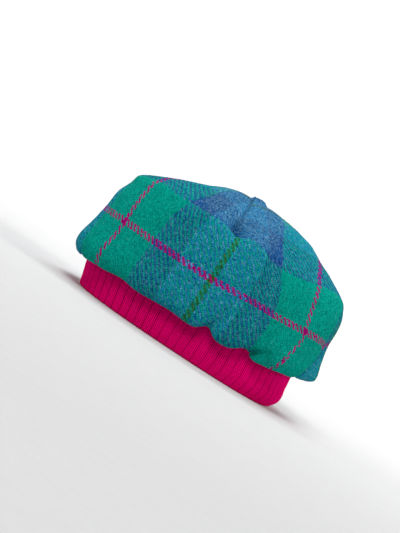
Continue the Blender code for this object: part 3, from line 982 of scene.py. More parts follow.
@dataclass(frozen=True)
class TweedFinish:
    """Brushed wool in a two-and-two twill, woven from the plaid's yarns.

    A scale counts waves in a metre, along and across the grain where there are two. A span is where
    a soft edge starts and ends.
    """

    name: str = "side_tweed"
    weave: Weave = TWILL
    gloss: float = 0.01
    wobble: float = 0.45 * MM
    wobble_scale: float = 520.0
    pale_share: float = 0.76
    pale_scale: tuple[float, float] = (250.0, 620.0)
    deep_share: float = 0.85
    deep_scale: tuple[float, float] = (260.0, 580.0)
    fleck_span: tuple[float, float] = (0.51, 0.61)
    slant: tuple[float, float] = (0.65, 0.76)
    stray_share: float = 0.06
    mingle: float = 0.17
    brushed_share: float = 0.34
    brushed_tint: tuple[int, int, int] = (104, 146, 150)
    brushed_wobble: float = 4.0
    brushed_y: float = -0.008
    brushed_span: tuple[float, float] = (0.028, 0.042)
    brushed_z_span: tuple[float, float] = (0.109, 0.122)
    felt_scale: float = 430.0
    felt_span: tuple[float, float] = (0.40, 0.62)
    fibre_scale: tuple[float, float] = (700.0, 3200.0)
    tuft_scale: float = 620.0
    cloud_scale: float = 45.0
    nap: float = 0.35 * MM
    relief: float = 0.30 * MM
    hair: float = 0.10 * MM

    def stops(self, key: str) -> list[tuple[float, tuple]]:
        """The yarns' colours along half a repeat, from the olive line to the magenta one."""
        places = np.cumsum([0] + [yarn.ends for yarn in YARNS[:-1]]) / self.weave.half_ends
        return [(float(place), linear(*getattr(yarn, key))) for place, yarn in zip(places, YARNS)]

    def spun(self, shop: MaterialShop, place: Sock, pale: Sock, deep: Sock) -> Sock:
        """Colour of the warp or the weft, with the flecks that are spun into its yarns.

        Args:
            shop: the material's nodes.
            place: share of half a repeat, from the olive line.
            pale: how much of the pale flecks shows.
            deep: how much of the deep flecks shows.

        Returns:
            A colour.
        """
        base, pale_tone, deep_tone = (shop.ramp(place, self.stops(key)) for key in ("base", "pale", "deep"))
        return shop.colour(deep, shop.colour(pale, base, pale_tone), deep_tone)

    def flecks(self, shop: MaterialShop, at: tuple[Sock, Sock], scale: tuple[float, float], layer: Sock,
               share: float) -> Sock:
        """How much of one kind of flecks shows.

        Args:
            shop: the material's nodes.
            at: place along and across the slant that the wool is spun on.
            scale: the flecks' scale.
            layer: sets the warp's flecks apart from the weft's.
            share: the most that shows.

        Returns:
            A share of the flecks' colour.
        """
        grain = shop.noise(shop.vector(at[0] * scale[0], at[1] * scale[1], layer), 1.0, 3.0, 0.75)
        return shop.step(grain, *self.fleck_span) * share

    def brushed(self, shop: MaterialShop) -> Sock:
        """Mark the middle of the top, where the brushed wool hides the weave.

        Args:
            shop: the material's nodes.

        Returns:
            1 in the middle of the top, falling to 0 around it.
        """
        _, along_hat, height = shop.split(shop.on_hat())
        beside = shop.maths("ABSOLUTE", along_hat - self.brushed_y)
        return shop.step(height, *self.brushed_z_span) * (1 - shop.step(beside, *self.brushed_span))

    def make(self) -> bpy.types.Material:
        """Build the material.

        Returns:
            The material.
        """
        shop = MaterialShop(self.name, {"Specular IOR Level": self.gloss})
        cloth = shop.on_map(CLOTH_MAP)
        warp_at, weft_at, _ = shop.split(cloth)
        warp_plaid, weft_plaid, _ = shop.split(shop.on_map(PLAID_MAP))
        brushed = self.brushed(shop)
        felt = shop.noise(shop.vector(warp_at, weft_at, 0.4), self.felt_scale, 3.0, 0.7)
        drift = (brushed * self.brushed_wobble + 1) * (self.wobble * 2)
        drift_a = (shop.noise(cloth, self.wobble_scale) - 0.5) * drift
        drift_b = (shop.noise(shop.vector(weft_at, warp_at, 1.7), self.wobble_scale) - 0.5) * drift
        ends = (warp_plaid + drift_a) * (1 / self.weave.end_pitch)
        picks = (weft_plaid + drift_b) * (1 / self.weave.pick_pitch)
        end, pick = shop.maths("FLOOR", ends), shop.maths("FLOOR", picks)
        in_end, in_pick = ends - end, picks - pick
        phase = (end + pick) % 4.0
        warp_up = phase < 1.5
        cell = shop.node("ShaderNodeTexWhiteNoise", {"noise_dimensions": "2D"}, {0: shop.vector(end, pick)})
        chance, other_chance, _ = shop.split(Sock(shop, cell.outputs["Color"]))
        shown = shop.maths("ABSOLUTE", warp_up - (chance < self.stray_share))

        lean, rise = self.slant
        slanted = (warp_at * lean - weft_at * rise, warp_at * rise + weft_at * lean)
        pale = self.flecks(shop, slanted, self.pale_scale, shown * 4.1, self.pale_share)
        deep = self.flecks(shop, slanted, self.deep_scale, shown * 2.3 + 11.0, self.deep_share)
        half_ends, half_picks = float(self.weave.half_ends), float(self.weave.half_picks)
        warp_place = shop.maths("PINGPONG", end + 0.5, half_ends) * (1 / half_ends)
        weft_place = shop.maths("PINGPONG", pick + (0.5 + half_picks), half_picks) * (1 / half_picks)
        plain = shop.maths("MAXIMUM", warp_place, weft_place) < 1 - MAGENTA.ends / half_ends
        mingled = plain * self.mingle
        body = shop.colour(mingled + shown * (1 - mingled * 2),
                           self.spun(shop, weft_place, pale, deep), self.spun(shop, warp_place, pale, deep))
        body = shop.colour(brushed * shop.step(felt, *self.felt_span) * self.brushed_share, body,
                           linear(*self.brushed_tint))

        along, across = shop.mix(warp_up, warp_at, weft_at), shop.mix(warp_up, weft_at, warp_at)
        hairs_at = shop.vector(along * self.fibre_scale[0], across * self.fibre_scale[1], warp_up * 5.3)
        fibre = shop.noise(hairs_at, 1.0, 3.0, 0.65)
        tufts = shop.noise(cloth, self.tuft_scale, 3.0, 0.7)
        cloud = shop.noise(cloth, self.cloud_scale, 2.0)
        float_place = shop.maths("FRACT", (phase + shop.mix(warp_up, in_end, in_pick)) * 0.5)
        crown = shop.maths("SINE", float_place * math.pi)
        side = shop.maths("SINE", shop.mix(warp_up, in_pick, in_end) * math.pi)
        height = (side ** 0.6) * (0.35 + crown * 0.65)
        # Painted shade at the yarns' edges and float ends, from height; the tufts, fibres, cloud and chance
        # add random tone
        shade = height * 0.54 + tufts * 0.72 + fibre * 0.16 + cloud * 0.12 + other_chance * 0.30
        body = shop.shaded(body, shade + brushed * (felt - 0.5) * 0.8)

        nap = shop.bump(tufts, self.nap, 0.7)
        twill = shop.bump(height, self.relief, 0.8, nap)
        hairs = shop.bump(fibre, self.hair, 0.6, twill)
        shop.drive(Base_Color=body, Roughness=0.82 + tufts * 0.2, Normal=hairs)
        return shop.material


@dataclass(frozen=True)
class KnitFinish:
    """Rib-knit wool with rows of small V-shaped stitches.

    The knit is taut over the hat's two sides, where its grooves open and show less. Its grooves and the gaps
    between its wales carry painted shade, which is lighter in the grooves where the knit is taut.
    """

    wale: float
    name: str = "rib_knit"
    gloss: float = 0.01
    pink: tuple[int, int, int] = (220, 0, 100)
    bright: tuple[int, int, int] = (242, 6, 128)
    # deep is the painted shade that is mixed into the grooves
    deep: tuple[int, int, int] = (140, 0, 62)
    course: float = 1.5 * MM
    slack_groove: float = 0.86
    taut_groove: float = 0.42
    taut_front: tuple[float, float] = (-0.050, 0.005)
    taut_back: tuple[float, float] = (0.065, 0.095)
    fibre_scale: tuple[float, float] = (1500.0, 500.0)
    tuft_scale: float = 520.0
    relief: float = 0.28 * MM
    hair: float = 0.12 * MM

    def make(self) -> bpy.types.Material:
        """Build the material.

        Returns:
            The material.
        """
        shop = MaterialShop(self.name, {"Specular IOR Level": self.gloss})
        cloth = shop.on_map(CLOTH_MAP)
        around, up, _ = shop.split(cloth)
        groove = shop.take("ShaderNodeAttribute", {"attribute_name": "groove"}, None, "Fac")
        _, along_hat, _ = shop.split(shop.on_hat())
        taut = shop.step(along_hat, *self.taut_front) * (1 - shop.step(along_hat, *self.taut_back))
        in_wale = shop.maths("PINGPONG", around * (1 / self.wale), 0.5)
        rise = up * (1 / self.course) + in_wale * 1.5
        leg = shop.maths("SINE", shop.maths("FRACT", rise) * math.pi)
        cord = shop.maths("SINE", in_wale * math.pi + 0.001)
        height = (leg ** 0.7) * (0.3 + cord * 0.7)
        fibre = shop.noise(shop.vector(around * self.fibre_scale[0], up * self.fibre_scale[1]), 1.0, 3.0, 0.6)
        tufts = shop.noise(cloth, self.tuft_scale, 3.0, 0.65)
        body = shop.colour(shop.step(fibre, 0.45, 0.75) * 0.5, linear(*self.pink), linear(*self.bright))
        # Painted shade: the grooves are mixed towards the deep pink, less where the knit is taut and its
        # grooves open
        body = shop.colour(groove * shop.mix(taut, self.slack_groove, self.taut_groove), body,
                           linear(*self.deep))
        # Painted shade between the wales and the stitch legs, from cord and height; the tufts add random tone
        body = shop.shaded(body, 0.24 + cord * 0.56 + height * 0.10 + tufts * 0.46)
        stitches = shop.bump(height, self.relief, 0.8)
        hairs = shop.bump(fibre, self.hair, 0.6, stitches)
        shop.drive(Base_Color=body, Roughness=0.78 + tufts * 0.2, Normal=hairs)
        return shop.material


@dataclass(frozen=True)
class FibreFinish:
    """Stray wool fibres, whose colour drifts a little along and between them."""

    name: str
    light: tuple[int, int, int]
    dark: tuple[int, int, int]
    gloss: float = 0.15

    def make(self) -> bpy.types.Material:
        """Build the material.

        Returns:
            The material.
        """
        shop = MaterialShop(self.name, {"Specular IOR Level": self.gloss})
        place = shop.on_hat()
        drift = shop.noise(place, 180.0, 1.0)
        fine = shop.noise(place, 2500.0, 1.0)
        body = shop.colour(shop.step(drift, 0.35, 0.65), linear(*self.dark), linear(*self.light))
        shop.drive(Base_Color=body, Roughness=0.55 + fine * 0.3)
        return shop.material


@dataclass(frozen=True)
class PaperFinish:
    """Matt white studio paper, with a very faint tooth."""

    name: str = "studio_paper"
    glow: float = 0.05

    def make(self) -> bpy.types.Material:
        """Build the material.

        Returns:
            The material.
        """
        shop = MaterialShop(self.name, {"Specular IOR Level": 0.1, "Emission Strength": self.glow,
                                        "Emission Color": (1.0, 1.0, 1.0, 1.0)})
        tooth = shop.noise(shop.on_hat(), 60.0, 2.0)
        shop.drive(Base_Color=shop.colour(tooth, linear(188, 188, 189), linear(194, 194, 194)),
                   Roughness=0.85 + tooth * 0.1)
        return shop.material


def add_object(name: str, data: bpy.types.ID) -> bpy.types.Object:
    """Add an object to the scene.

    Args:
        name: the object's name.
        data: its mesh, light or camera.

    Returns:
        The new object, at the origin.
    """
    made = bpy.data.objects.new(name, data)
    bpy.context.scene.collection.objects.link(made)
    return made


def add_mesh(name: str, points: np.ndarray, faces: list, uv: np.ndarray | None = None) -> bpy.types.Object:
    """Add a smooth mesh to the scene.

    Args:
        name: the object's name.
        points: the vertices.
        faces: vertex numbers, face by face.
        uv: for each corner of each face, in order, a place on the cloth and then in the plaid.

    Returns:
        The new object, at the origin.
    """
    mesh = bpy.data.meshes.new(name)
    mesh.from_pydata(points.tolist(), [], faces)
    for key, columns in ((CLOTH_MAP, slice(0, 2)), (PLAID_MAP, slice(2, 4))):
        if uv is not None and uv[:, columns].size:
            layer = mesh.uv_layers.new(name=key)
            layer.data.foreach_set("uv", np.ascontiguousarray(uv[:, columns], np.float32).ravel())
    mesh.shade_smooth()
    return add_object(name, mesh)


def bake_nodes(host: bpy.types.Object, name: str) -> bpy.types.Object:
    """Turn what a host's modifiers make into a plain mesh object, and remove the host.

    Args:
        host: the object with the modifiers.
        name: the new object's name.

    Returns:
        The new object, at the origin.
    """
    bpy.context.view_layer.update()
    evaluated = host.evaluated_get(bpy.context.evaluated_depsgraph_get())
    mesh = bpy.data.meshes.new_from_object(evaluated)
    mesh.name = name
    bpy.data.objects.remove(host, do_unlink=True)
    return add_object(name, mesh)


def face_outwards(made: bpy.types.Object, weld: float) -> None:
    """Merge a mesh's doubles, and then turn its faces outwards.

    Args:
        made: an object whose mesh is closed.
        weld: how close two points are that count as one.
    """
    form = bmesh.new()
    form.from_mesh(made.data)
    bmesh.ops.remove_doubles(form, verts=form.verts, dist=weld)
    bmesh.ops.recalc_face_normals(form, faces=form.faces)
    form.to_mesh(made.data)
    form.free()


class GeometryTree(NodeShop):
    """A geometry modifier's tree with named inputs."""

    def __init__(self, name: str, inputs: dict[str, float | int]) -> None:
        """Start a tree that takes a geometry and named numbers.

        Args:
            name: the tree's name.
            inputs: the value of each named input, a whole number where it is an int.
        """
        tree = bpy.data.node_groups.new(name, "GeometryNodeTree")
        super().__init__(tree)
        for way in ("INPUT", "OUTPUT"):
            tree.interface.new_socket(name="Geometry", in_out=way, socket_type="NodeSocketGeometry")
        self.values = {}
        for key, value in inputs.items():
            kind = "NodeSocketInt" if isinstance(value, int) else "NodeSocketFloat"
            socket = tree.interface.new_socket(name=key, in_out="INPUT", socket_type=kind)
            self.values[socket.identifier] = value
        self.group_input = tree.nodes.new("NodeGroupInput")
        self.group_output = tree.nodes.new("NodeGroupOutput")

    def given(self, name: str) -> Sock:
        """One of the tree's named inputs."""
        return Sock(self, self.group_input.outputs[name])

    def stored(self, name: str, kind: str = "FLOAT") -> Sock:
        """An attribute that is stored on the host's points."""
        return self.take("GeometryNodeInputNamedAttribute", {"data_type": kind}, {"Name": name})

    def end(self, geometry: Sock, material: bpy.types.Material) -> None:
        """Close the tree with real geometry in its material.

        Args:
            geometry: what the tree has made.
            material: the finish of all of it.
        """
        real = self.take("GeometryNodeRealizeInstances", None, {"Geometry": geometry})
        dressed = self.take("GeometryNodeSetMaterial", None, {"Geometry": real, "Material": material})
        self.tree.links.new(dressed.socket, self.group_output.inputs[0])

    def put_on(self, host: bpy.types.Object) -> None:
        """Add the tree to an object as a modifier with its inputs set.

        Args:
            host: the object.
        """
        modifier = host.modifiers.new(self.tree.name, "NODES")
        modifier.node_group = self.tree
        for identifier, value in self.values.items():
            modifier[identifier] = value


@dataclass(frozen=True)
class WoolFuzz:
    """Stray fibres that lie on a piece of cloth and stand a little proud of it."""

    density: float
    length: float
    lift: float = 0.45 * MM
    radius: float = 0.024 * MM
    bends: int = 5
    sides: int = 3
    least_size: tuple[float, float, float] = (0.35, -1.0, 0.3)
    most_size: tuple[float, float, float] = (1.5, 1.0, 1.3)
    tilt: float = 0.15
    weld: float = 1e-8

    def make(self, name: str, host: bpy.types.Object, finish: FibreFinish, seed: int) -> bpy.types.Object:
        """Scatter fibres over a host's faces.

        Args:
            name: the new piece's name.
            host: a mesh of the outer face alone, which is used up.
            finish: the fibres' finish.
            seed: fixes where they fall.

        Returns:
            One mesh of all the fibres.
        """
        tree = GeometryTree(name, {"Density": self.density, "Fibre Length": self.length,
                                   "Fibre Lift": self.lift, "Fibre Radius": self.radius, "Seed": seed})
        spread = tree.node("GeometryNodeDistributePointsOnFaces", {"distribute_method": "RANDOM"},
                           {"Mesh": tree.given("Geometry"), "Density": tree.given("Density"),
                            "Seed": tree.given("Seed")})
        length, lift = tree.given("Fibre Length"), tree.given("Fibre Lift")
        curve = tree.take("GeometryNodeCurveQuadraticBezier", None,
                          {"Resolution": self.bends, "Start": tree.vector(length * -0.5, 0.0, lift * -0.3),
                           "Middle": tree.vector(0.0, length * 0.55, lift * 2.2),
                           "End": tree.vector(length * 0.5, length * -0.05, lift * 0.2)})
        section = tree.take("GeometryNodeCurvePrimitiveCircle", {"mode": "RADIUS"},
                            {"Resolution": self.sides, "Radius": tree.given("Fibre Radius")})
        fibre = tree.take("GeometryNodeCurveToMesh", None,
                          {"Curve": curve, "Profile Curve": section, "Fill Caps": True})
        size = tree.take("FunctionNodeRandomValue", {"data_type": "FLOAT_VECTOR"},
                         {0: self.least_size, 1: self.most_size, "Seed": seed + 1})
        placed = tree.take("GeometryNodeInstanceOnPoints", None,
                           {"Points": Sock(tree, spread.outputs["Points"]), "Instance": fibre,
                            "Rotation": Sock(tree, spread.outputs["Rotation"]), "Scale": size})
        turn = tree.take("FunctionNodeRandomValue", {"data_type": "FLOAT_VECTOR"},
                         {0: (-self.tilt, -self.tilt, 0.0), 1: (self.tilt, self.tilt, math.tau),
                          "Seed": seed + 2})
        turned = tree.take("GeometryNodeRotateInstances", None, {"Instances": placed, "Rotation": turn})
        tree.end(turned, finish.make())
        tree.put_on(host)
        fibres = bake_nodes(host, name)
        # The scale across is negative on about half of the fibres, which turns those inside out
        face_outwards(fibres, self.weld)
        return fibres


class Facing(Enum):
    """The way that a piece of the crown looks out, as a unit vector."""

    LEFT = (1.0, 0.0, 0.0)
    RIGHT = (-1.0, 0.0, 0.0)
    FRONT = (0.0, -1.0, 0.0)
    BACK = (0.0, 1.0, 0.0)

    @property
    def across(self) -> np.ndarray:
        """The level direction along the piece, to the right as it is seen from outside."""
        return np.cross(UP, self.value)


class Seam(NamedTuple):
    """How the cloth turns in where two edges are sewn together."""

    depth: float
    width: float


@dataclass(frozen=True)
class ClothPiece:
    """A piece of the crown: a closed wall of twill with the plaid laid on it as it was cut."""

    name: str
    facing: Facing
    plaid_across: float
    plaid_up: float
    crown: CrownShape = CrownShape()
    cloth: float = 0.0022
    seam_gap: float = 0.04 * MM
    edge_seam: Seam = Seam(2.0 * MM, 1.3 * MM)
    dart_seam: Seam = Seam(1.9 * MM, 0.8 * MM)
    swell: float = 0.35 * MM
    plaid: Plaid | None = None
    rows: int = 122
    coarse_rows: int = 38
    hug: float = 0.72
    coarse_hug: float = 0.30
    swell_seed: int = 11
    swell_waves: int = 12
    swell_lengths: tuple[float, float] = (0.018, 0.055)
    swell_start: float = 6.3
    level_z: tuple[float, float] = (0.045, 0.100)
    level_half: float = 0.045

    def shares(self, count: int, fine: bool) -> np.ndarray:
        """Places from 0 to 1, closer together at both ends.

        Args:
            count: how many gaps there are between them.
            fine: whether they are for the piece itself or for laying it flat.

        Returns:
            The places, rising.
        """
        hug = self.hug if fine else self.coarse_hug
        even = np.linspace(0, 1, count + 1)
        return even - hug / (2 * math.pi) * np.sin(2 * math.pi * even)

    def last(self) -> float:
        """Station of the top row, just short of the tip."""
        raise NotImplementedError

    def azimuths(self, stations: np.ndarray, parts: list[np.ndarray]) -> list[np.ndarray]:
        """Ways round to the columns of each part."""
        raise NotImplementedError

    def part_shares(self, fine: bool) -> list[np.ndarray]:
        """The columns of each part as shares of its width."""
        raise NotImplementedError

    def tip(self) -> np.ndarray:
        """The piece's topmost point."""
        raise NotImplementedError

    def slit_row(self, stations: np.ndarray) -> int:
        """First row above which the parts are cut from each other."""
        raise NotImplementedError

    def flat_parts(self) -> tuple[list[np.ndarray], float, tuple[float, float]]:
        """Lay the piece flat.

        Returns:
            A grid of flat places for each part, at the coarse rows and columns, then the flat
            area and the flat width and length.
        """
        stations = self.crown.stations(self.last(), self.coarse_rows)
        shares = self.part_shares(False)
        grids = [self.crown.face(a, stations[:, None]) for a in self.azimuths(stations, shares)]
        slit = self.slit_row(stations)
        numbers, points, start = [], [], []
        count = 0
        for part, grid in enumerate(grids):
            ids = np.arange(grid.shape[0] * grid.shape[1]).reshape(grid.shape[:2]) + count
            if part:
                ids[:slit + 1, 0] = numbers[-1][:slit + 1, -1]
            numbers.append(ids)
            count += grid.shape[0] * grid.shape[1]
            run = along_rows(grid)
            if part == 0 and len(grids) > 1:
                run = run - run[:, -1:]
            elif len(grids) == 1:
                run = run - run[:, -1:] / 2
            rise = np.broadcast_to(self.crown.distance(stations)[:, None], run.shape)
            points.append(grid.reshape(-1, 3))
            start.append(np.stack([run, rise], axis=2).reshape(-1, 2))
        triangles = []
        for ids in numbers:
            a, b, c, d = cells(ids)
            triangles.append(np.stack([a, b, c], axis=2).reshape(-1, 3))
            triangles.append(np.stack([a, c, d], axis=2).reshape(-1, 3))
        triangles = np.concatenate(triangles)
        used, triangles = np.unique(triangles, return_inverse=True)
        triangles = triangles.reshape(-1, 3)
        places, guess = np.concatenate(points)[used], np.concatenate(start)[used]
        flat = self.squared(Flattening(places, triangles).solve(guess), places)
        slot = np.zeros(count, int)
        slot[used] = np.arange(len(used))
        corners = flat[triangles]
        first, second = corners[:, 1] - corners[:, 0], corners[:, 2] - corners[:, 0]
        area = float(np.abs(first[:, 0] * second[:, 1] - first[:, 1] * second[:, 0]).sum() / 2)
        size = flat.max(axis=0) - flat.min(axis=0)
        return [flat[slot[ids]] for ids in numbers], area, (float(size[0]), float(size[1]))

    def squared(self, flat: np.ndarray, places: np.ndarray) -> np.ndarray:
        """Turn the flat piece so that its warp runs straight up the middle of the wall.

        Args:
            flat: flat places.
            places: the same points on the hat.

        Returns:
            The flat places, turned and moved so that the plaid falls where the piece has it.
        """
        across, up = places @ self.facing.across, places[:, 2]
        outward = places @ np.array(self.facing.value)
        low, high = self.level_z
        near = (up > low) & (up < high) & (np.abs(across) < self.level_half) & (outward > 0)
        wall = np.stack([across, up], axis=1)[near]
        here = flat[near]
        wall_off, here_off = wall - wall.mean(axis=0), here - here.mean(axis=0)
        cosine = (here_off * wall_off).sum()
        sine = (here_off[:, 0] * wall_off[:, 1] - here_off[:, 1] * wall_off[:, 0]).sum()
        angle = math.atan2(sine, cosine)
        turn = np.array([[math.cos(angle), math.sin(angle)], [-math.sin(angle), math.cos(angle)]])
        turned = flat @ turn
        move = (wall - turned[near]).mean(axis=0)
        return turned + move - np.array([self.plaid_across, self.plaid_up])

    def swollen(self, flat: np.ndarray) -> np.ndarray:
        """Slow, soft unevenness of the stuffed-out cloth.

        Args:
            flat: places on the flat piece.

        Returns:
            How far the cloth lies below its plain form at each place.
        """
        chance = np.random.default_rng(self.swell_seed)
        height = np.zeros(flat.shape[:-1])
        for _ in range(self.swell_waves):
            angle = chance.uniform(0, math.pi)
            length = chance.uniform(*self.swell_lengths)
            start = chance.uniform(0, self.swell_start)
            way = flat[..., 0] * math.cos(angle) + flat[..., 1] * math.sin(angle)
            height += np.sin(way * math.tau / length + start)
        return self.swell * height / math.sqrt(self.swell_waves)

    def grids(self) -> tuple[list[np.ndarray], list[np.ndarray], list[np.ndarray], float, tuple]:
        """Work out the piece's faces.

        Returns:
            Outer face, inner face and flat places of each part, then the flat area, and the flat
            width and length.
        """
        coarse, area, size = self.flat_parts()
        coarse_at = self.crown.distance(self.crown.stations(self.last(), self.coarse_rows))
        stations = self.crown.stations(self.last(), self.rows)
        at = self.crown.distance(stations)
        shares, coarse_shares = self.part_shares(True), self.part_shares(False)
        azimuths = self.azimuths(stations, shares)
        whole = np.concatenate([azimuths[0]] + [a[:, 1:] for a in azimuths[1:]], axis=1)
        plain = self.crown.face(whole, stations[:, None])
        normal = np.cross(np.gradient(plain, axis=1), np.gradient(plain, axis=0))
        normal /= np.linalg.norm(normal, axis=2, keepdims=True) + 1e-15
        outers, inners, flats = [], [], []
        first = 0
        for part, share in enumerate(shares):
            chosen = slice(first, first + len(share))
            rows = through(coarse_at, coarse[part], at)
            flat = through(coarse_shares[part], rows.transpose(1, 0, 2), share).transpose(1, 0, 2)
            depth = self.turned_in(plain[:, chosen], stations, part) + self.swollen(flat)
            outers.append(plain[:, chosen] - normal[:, chosen] * depth[..., None])
            inners.append(plain[:, chosen] - normal[:, chosen] * self.cloth)
            flats.append(np.concatenate([flat, self.plaid.places(flat) if self.plaid else flat], axis=2))
            first += len(share) - 1
        return outers, inners, flats, area, size

    def turned_in(self, grid: np.ndarray, stations: np.ndarray, part: int) -> np.ndarray:
        """How far the face turns in at the piece's sewn edges."""
        raise NotImplementedError

    def away(self, grid: np.ndarray, column: int) -> np.ndarray:
        """Distance of every point of a grid from one of its columns, along the rows."""
        run = along_rows(grid)
        return np.abs(run - run[:, [column]])

    def build(self, finish: bpy.types.Material, fuzz: WoolFuzz, fibres: FibreFinish, seed: int) -> tuple:
        """Make the piece and the fibres on it.

        Args:
            finish: the cloth's material.
            fuzz: how the fibres lie.
            fibres: the fibres' finish.
            seed: fixes where they fall.

        Returns:
            The cloth, the fibres, the flat area and the flat width and length.
        """
        outers, inners, flats, area, size = self.grids()
        outer = np.concatenate([outers[0][:, :-1]] * (len(outers) > 1) + [outers[-1]], axis=1)
        inner = np.concatenate([inners[0][:, :-1]] * (len(inners) > 1) + [inners[-1]], axis=1)
        start = np.concatenate([flat[:, :-1] for flat in flats], axis=1)
        stop = np.concatenate([flat[:, 1:] for flat in flats], axis=1)
        cloth = self.closed(outer, inner, start, stop)
        cloth.data.materials.append(finish)
        rows, columns = outer.shape[:2]
        ids = np.arange(rows * columns).reshape(rows, columns)
        shell = np.stack(cells(ids), axis=2).reshape(-1, 4)
        host = add_mesh(self.name + "_host", outer.reshape(-1, 3), shell.tolist())
        strays = fuzz.make(self.name + "_fibres", host, fibres, seed)
        return cloth, strays, area, size

    def closed(self, outer: np.ndarray, inner: np.ndarray, start: np.ndarray,
               stop: np.ndarray) -> bpy.types.Object:
        """Join the outer and inner faces into one closed wall.

        Args:
            outer: grid of points, rows up and columns to the right as seen from outside.
            inner: the same grid on the inside.
            start: flat place of the left side of each gap between columns.
            stop: flat place of its right side.

        Returns:
            The piece, with the plaid's map on it.
        """
        rows, columns = outer.shape[:2]
        ids = np.arange(rows * columns).reshape(rows, columns)
        back = ids + rows * columns
        tip_out, tip_in = 2 * rows * columns, 2 * rows * columns + 1
        tip_flat = (start[-1] + stop[-1]) / 2
        flat = [start[:-1], stop[:-1], stop[1:], start[1:]]
        walls = (
            (cells(ids), flat),
            (cells(back)[:1] + cells(back)[:0:-1], flat[:1] + flat[:0:-1]),
            ([ids[0, :-1], back[0, :-1], back[0, 1:], ids[0, 1:]], [start[0], start[0], stop[0], stop[0]]),
            ([ids[1:, 0], ids[:-1, 0], back[:-1, 0], back[1:, 0]],
             [start[1:, 0], start[:-1, 0], start[:-1, 0], start[1:, 0]]),
            ([ids[:-1, -1], ids[1:, -1], back[1:, -1], back[:-1, -1]],
             [stop[:-1, -1], stop[1:, -1], stop[1:, -1], stop[:-1, -1]]),
        )
        faces, corners = [], []
        for four, places in walls:
            faces += np.stack([corner.ravel() for corner in four], axis=1).tolist()
            corners.append(np.stack([place.reshape(-1, 4) for place in places], axis=1).reshape(-1, 4))
        for column in range(columns - 1):
            faces.append([ids[-1, column], ids[-1, column + 1], tip_out])
            corners.append(np.stack([start[-1, column], stop[-1, column], tip_flat[column]]))
            faces.append([back[-1, column + 1], back[-1, column], tip_in])
            corners.append(np.stack([stop[-1, column], start[-1, column], tip_flat[column]]))
        faces.append([tip_out, ids[-1, 0], back[-1, 0], tip_in])
        corners.append(np.stack([tip_flat[0], start[-1, 0], start[-1, 0], tip_flat[0]]))
        faces.append([ids[-1, -1], tip_out, tip_in, back[-1, -1]])
        corners.append(np.stack([stop[-1, -1], tip_flat[-1], tip_flat[-1], stop[-1, -1]]))
        tip = self.tip()
        ends = np.array([tip, tip - UP * self.cloth])
        points = np.concatenate([outer.reshape(-1, 3), inner.reshape(-1, 3), ends])
        faces = [[int(v) for v in face] for face in faces]
        return add_mesh(self.name + "_cloth", points, faces, np.concatenate(corners))


@dataclass(frozen=True)
class SidePanel(ClothPiece):
    """A wide side panel with a dart from its shoulder to the middle of the top."""

    front_columns: int = 90
    back_columns: int = 126
    coarse_columns: tuple[int, int] = (18, 24)
    top_margin: float = 0.25
    dart_margin: float = 0.25

    @property
    def mirrored(self) -> bool:
        """Whether this is the wearer's right panel."""
        return self.facing is Facing.RIGHT

    def last(self) -> float:
        """Station of the top row, just short of the middle of the top."""
        return self.crown.station("middle") - self.top_margin

    def part_shares(self, fine: bool) -> list[np.ndarray]:
        """Columns of the front and back parts, in the order that they are walked.

        Args:
            fine: whether they are for the piece itself or for laying it flat.

        Returns:
            Shares of each part's width.
        """
        counts = (self.front_columns, self.back_columns) if fine else self.coarse_columns
        parts = [self.shares(count, fine) for count in counts]
        return parts[::-1] if self.mirrored else parts

    def azimuths(self, stations: np.ndarray, parts: list[np.ndarray]) -> list[np.ndarray]:
        """Ways round to the columns, from the left to the right as seen from outside.

        Args:
            stations: the rows.
            parts: the columns of each part, as shares of its width.

        Returns:
            A grid for each part, with a row for each station.
        """
        half_gap = self.seam_gap / 2
        front = self.crown.edge_azimuth(stations, 0, half_gap)[:, None]
        back = self.crown.edge_azimuth(stations, 1, half_gap)[:, None]
        if self.mirrored:
            return [math.pi - back * (1 - parts[0])[None, :], math.pi - front * parts[1][None, :]]
        return [front * (1 - parts[0])[None, :], back * parts[1][None, :]]

    def tip(self) -> np.ndarray:
        """The middle of the top.

        Returns:
            Its place, half a seam's gap to the panel's own side.
        """
        tip = self.crown.face(0.0, self.crown.station("middle"))
        tip[0] = (-1 if self.mirrored else 1) * self.seam_gap / 2
        return tip

    def slit_row(self, stations: np.ndarray) -> int:
        """The dart is open above the shoulder."""
        return int(np.searchsorted(stations, self.crown.station("shoulder") - self.dart_margin))

    def turned_in(self, grid: np.ndarray, stations: np.ndarray, part: int) -> np.ndarray:
        """The face turns in at the gusset's seam, and at the dart above the shoulder.

        Args:
            grid: the part's plain face.
            stations: its rows.
            part: its number, from the left as seen from outside.

        Returns:
            A depth for each point.
        """
        seam_column, dart_column = (0, -1) if part == 0 else (-1, 0)
        edge = self.edge_seam.depth * np.exp(-self.away(grid, seam_column) / self.edge_seam.width)
        open_dart = smooth_step(self.crown.station("wall_4"), self.crown.station("top_1"), stations)[:, None]
        dart = self.dart_seam.depth * np.exp(-self.away(grid, dart_column) / self.dart_seam.width)
        return np.maximum(edge * self.crown.freedom(stations)[:, None], dart * open_dart)


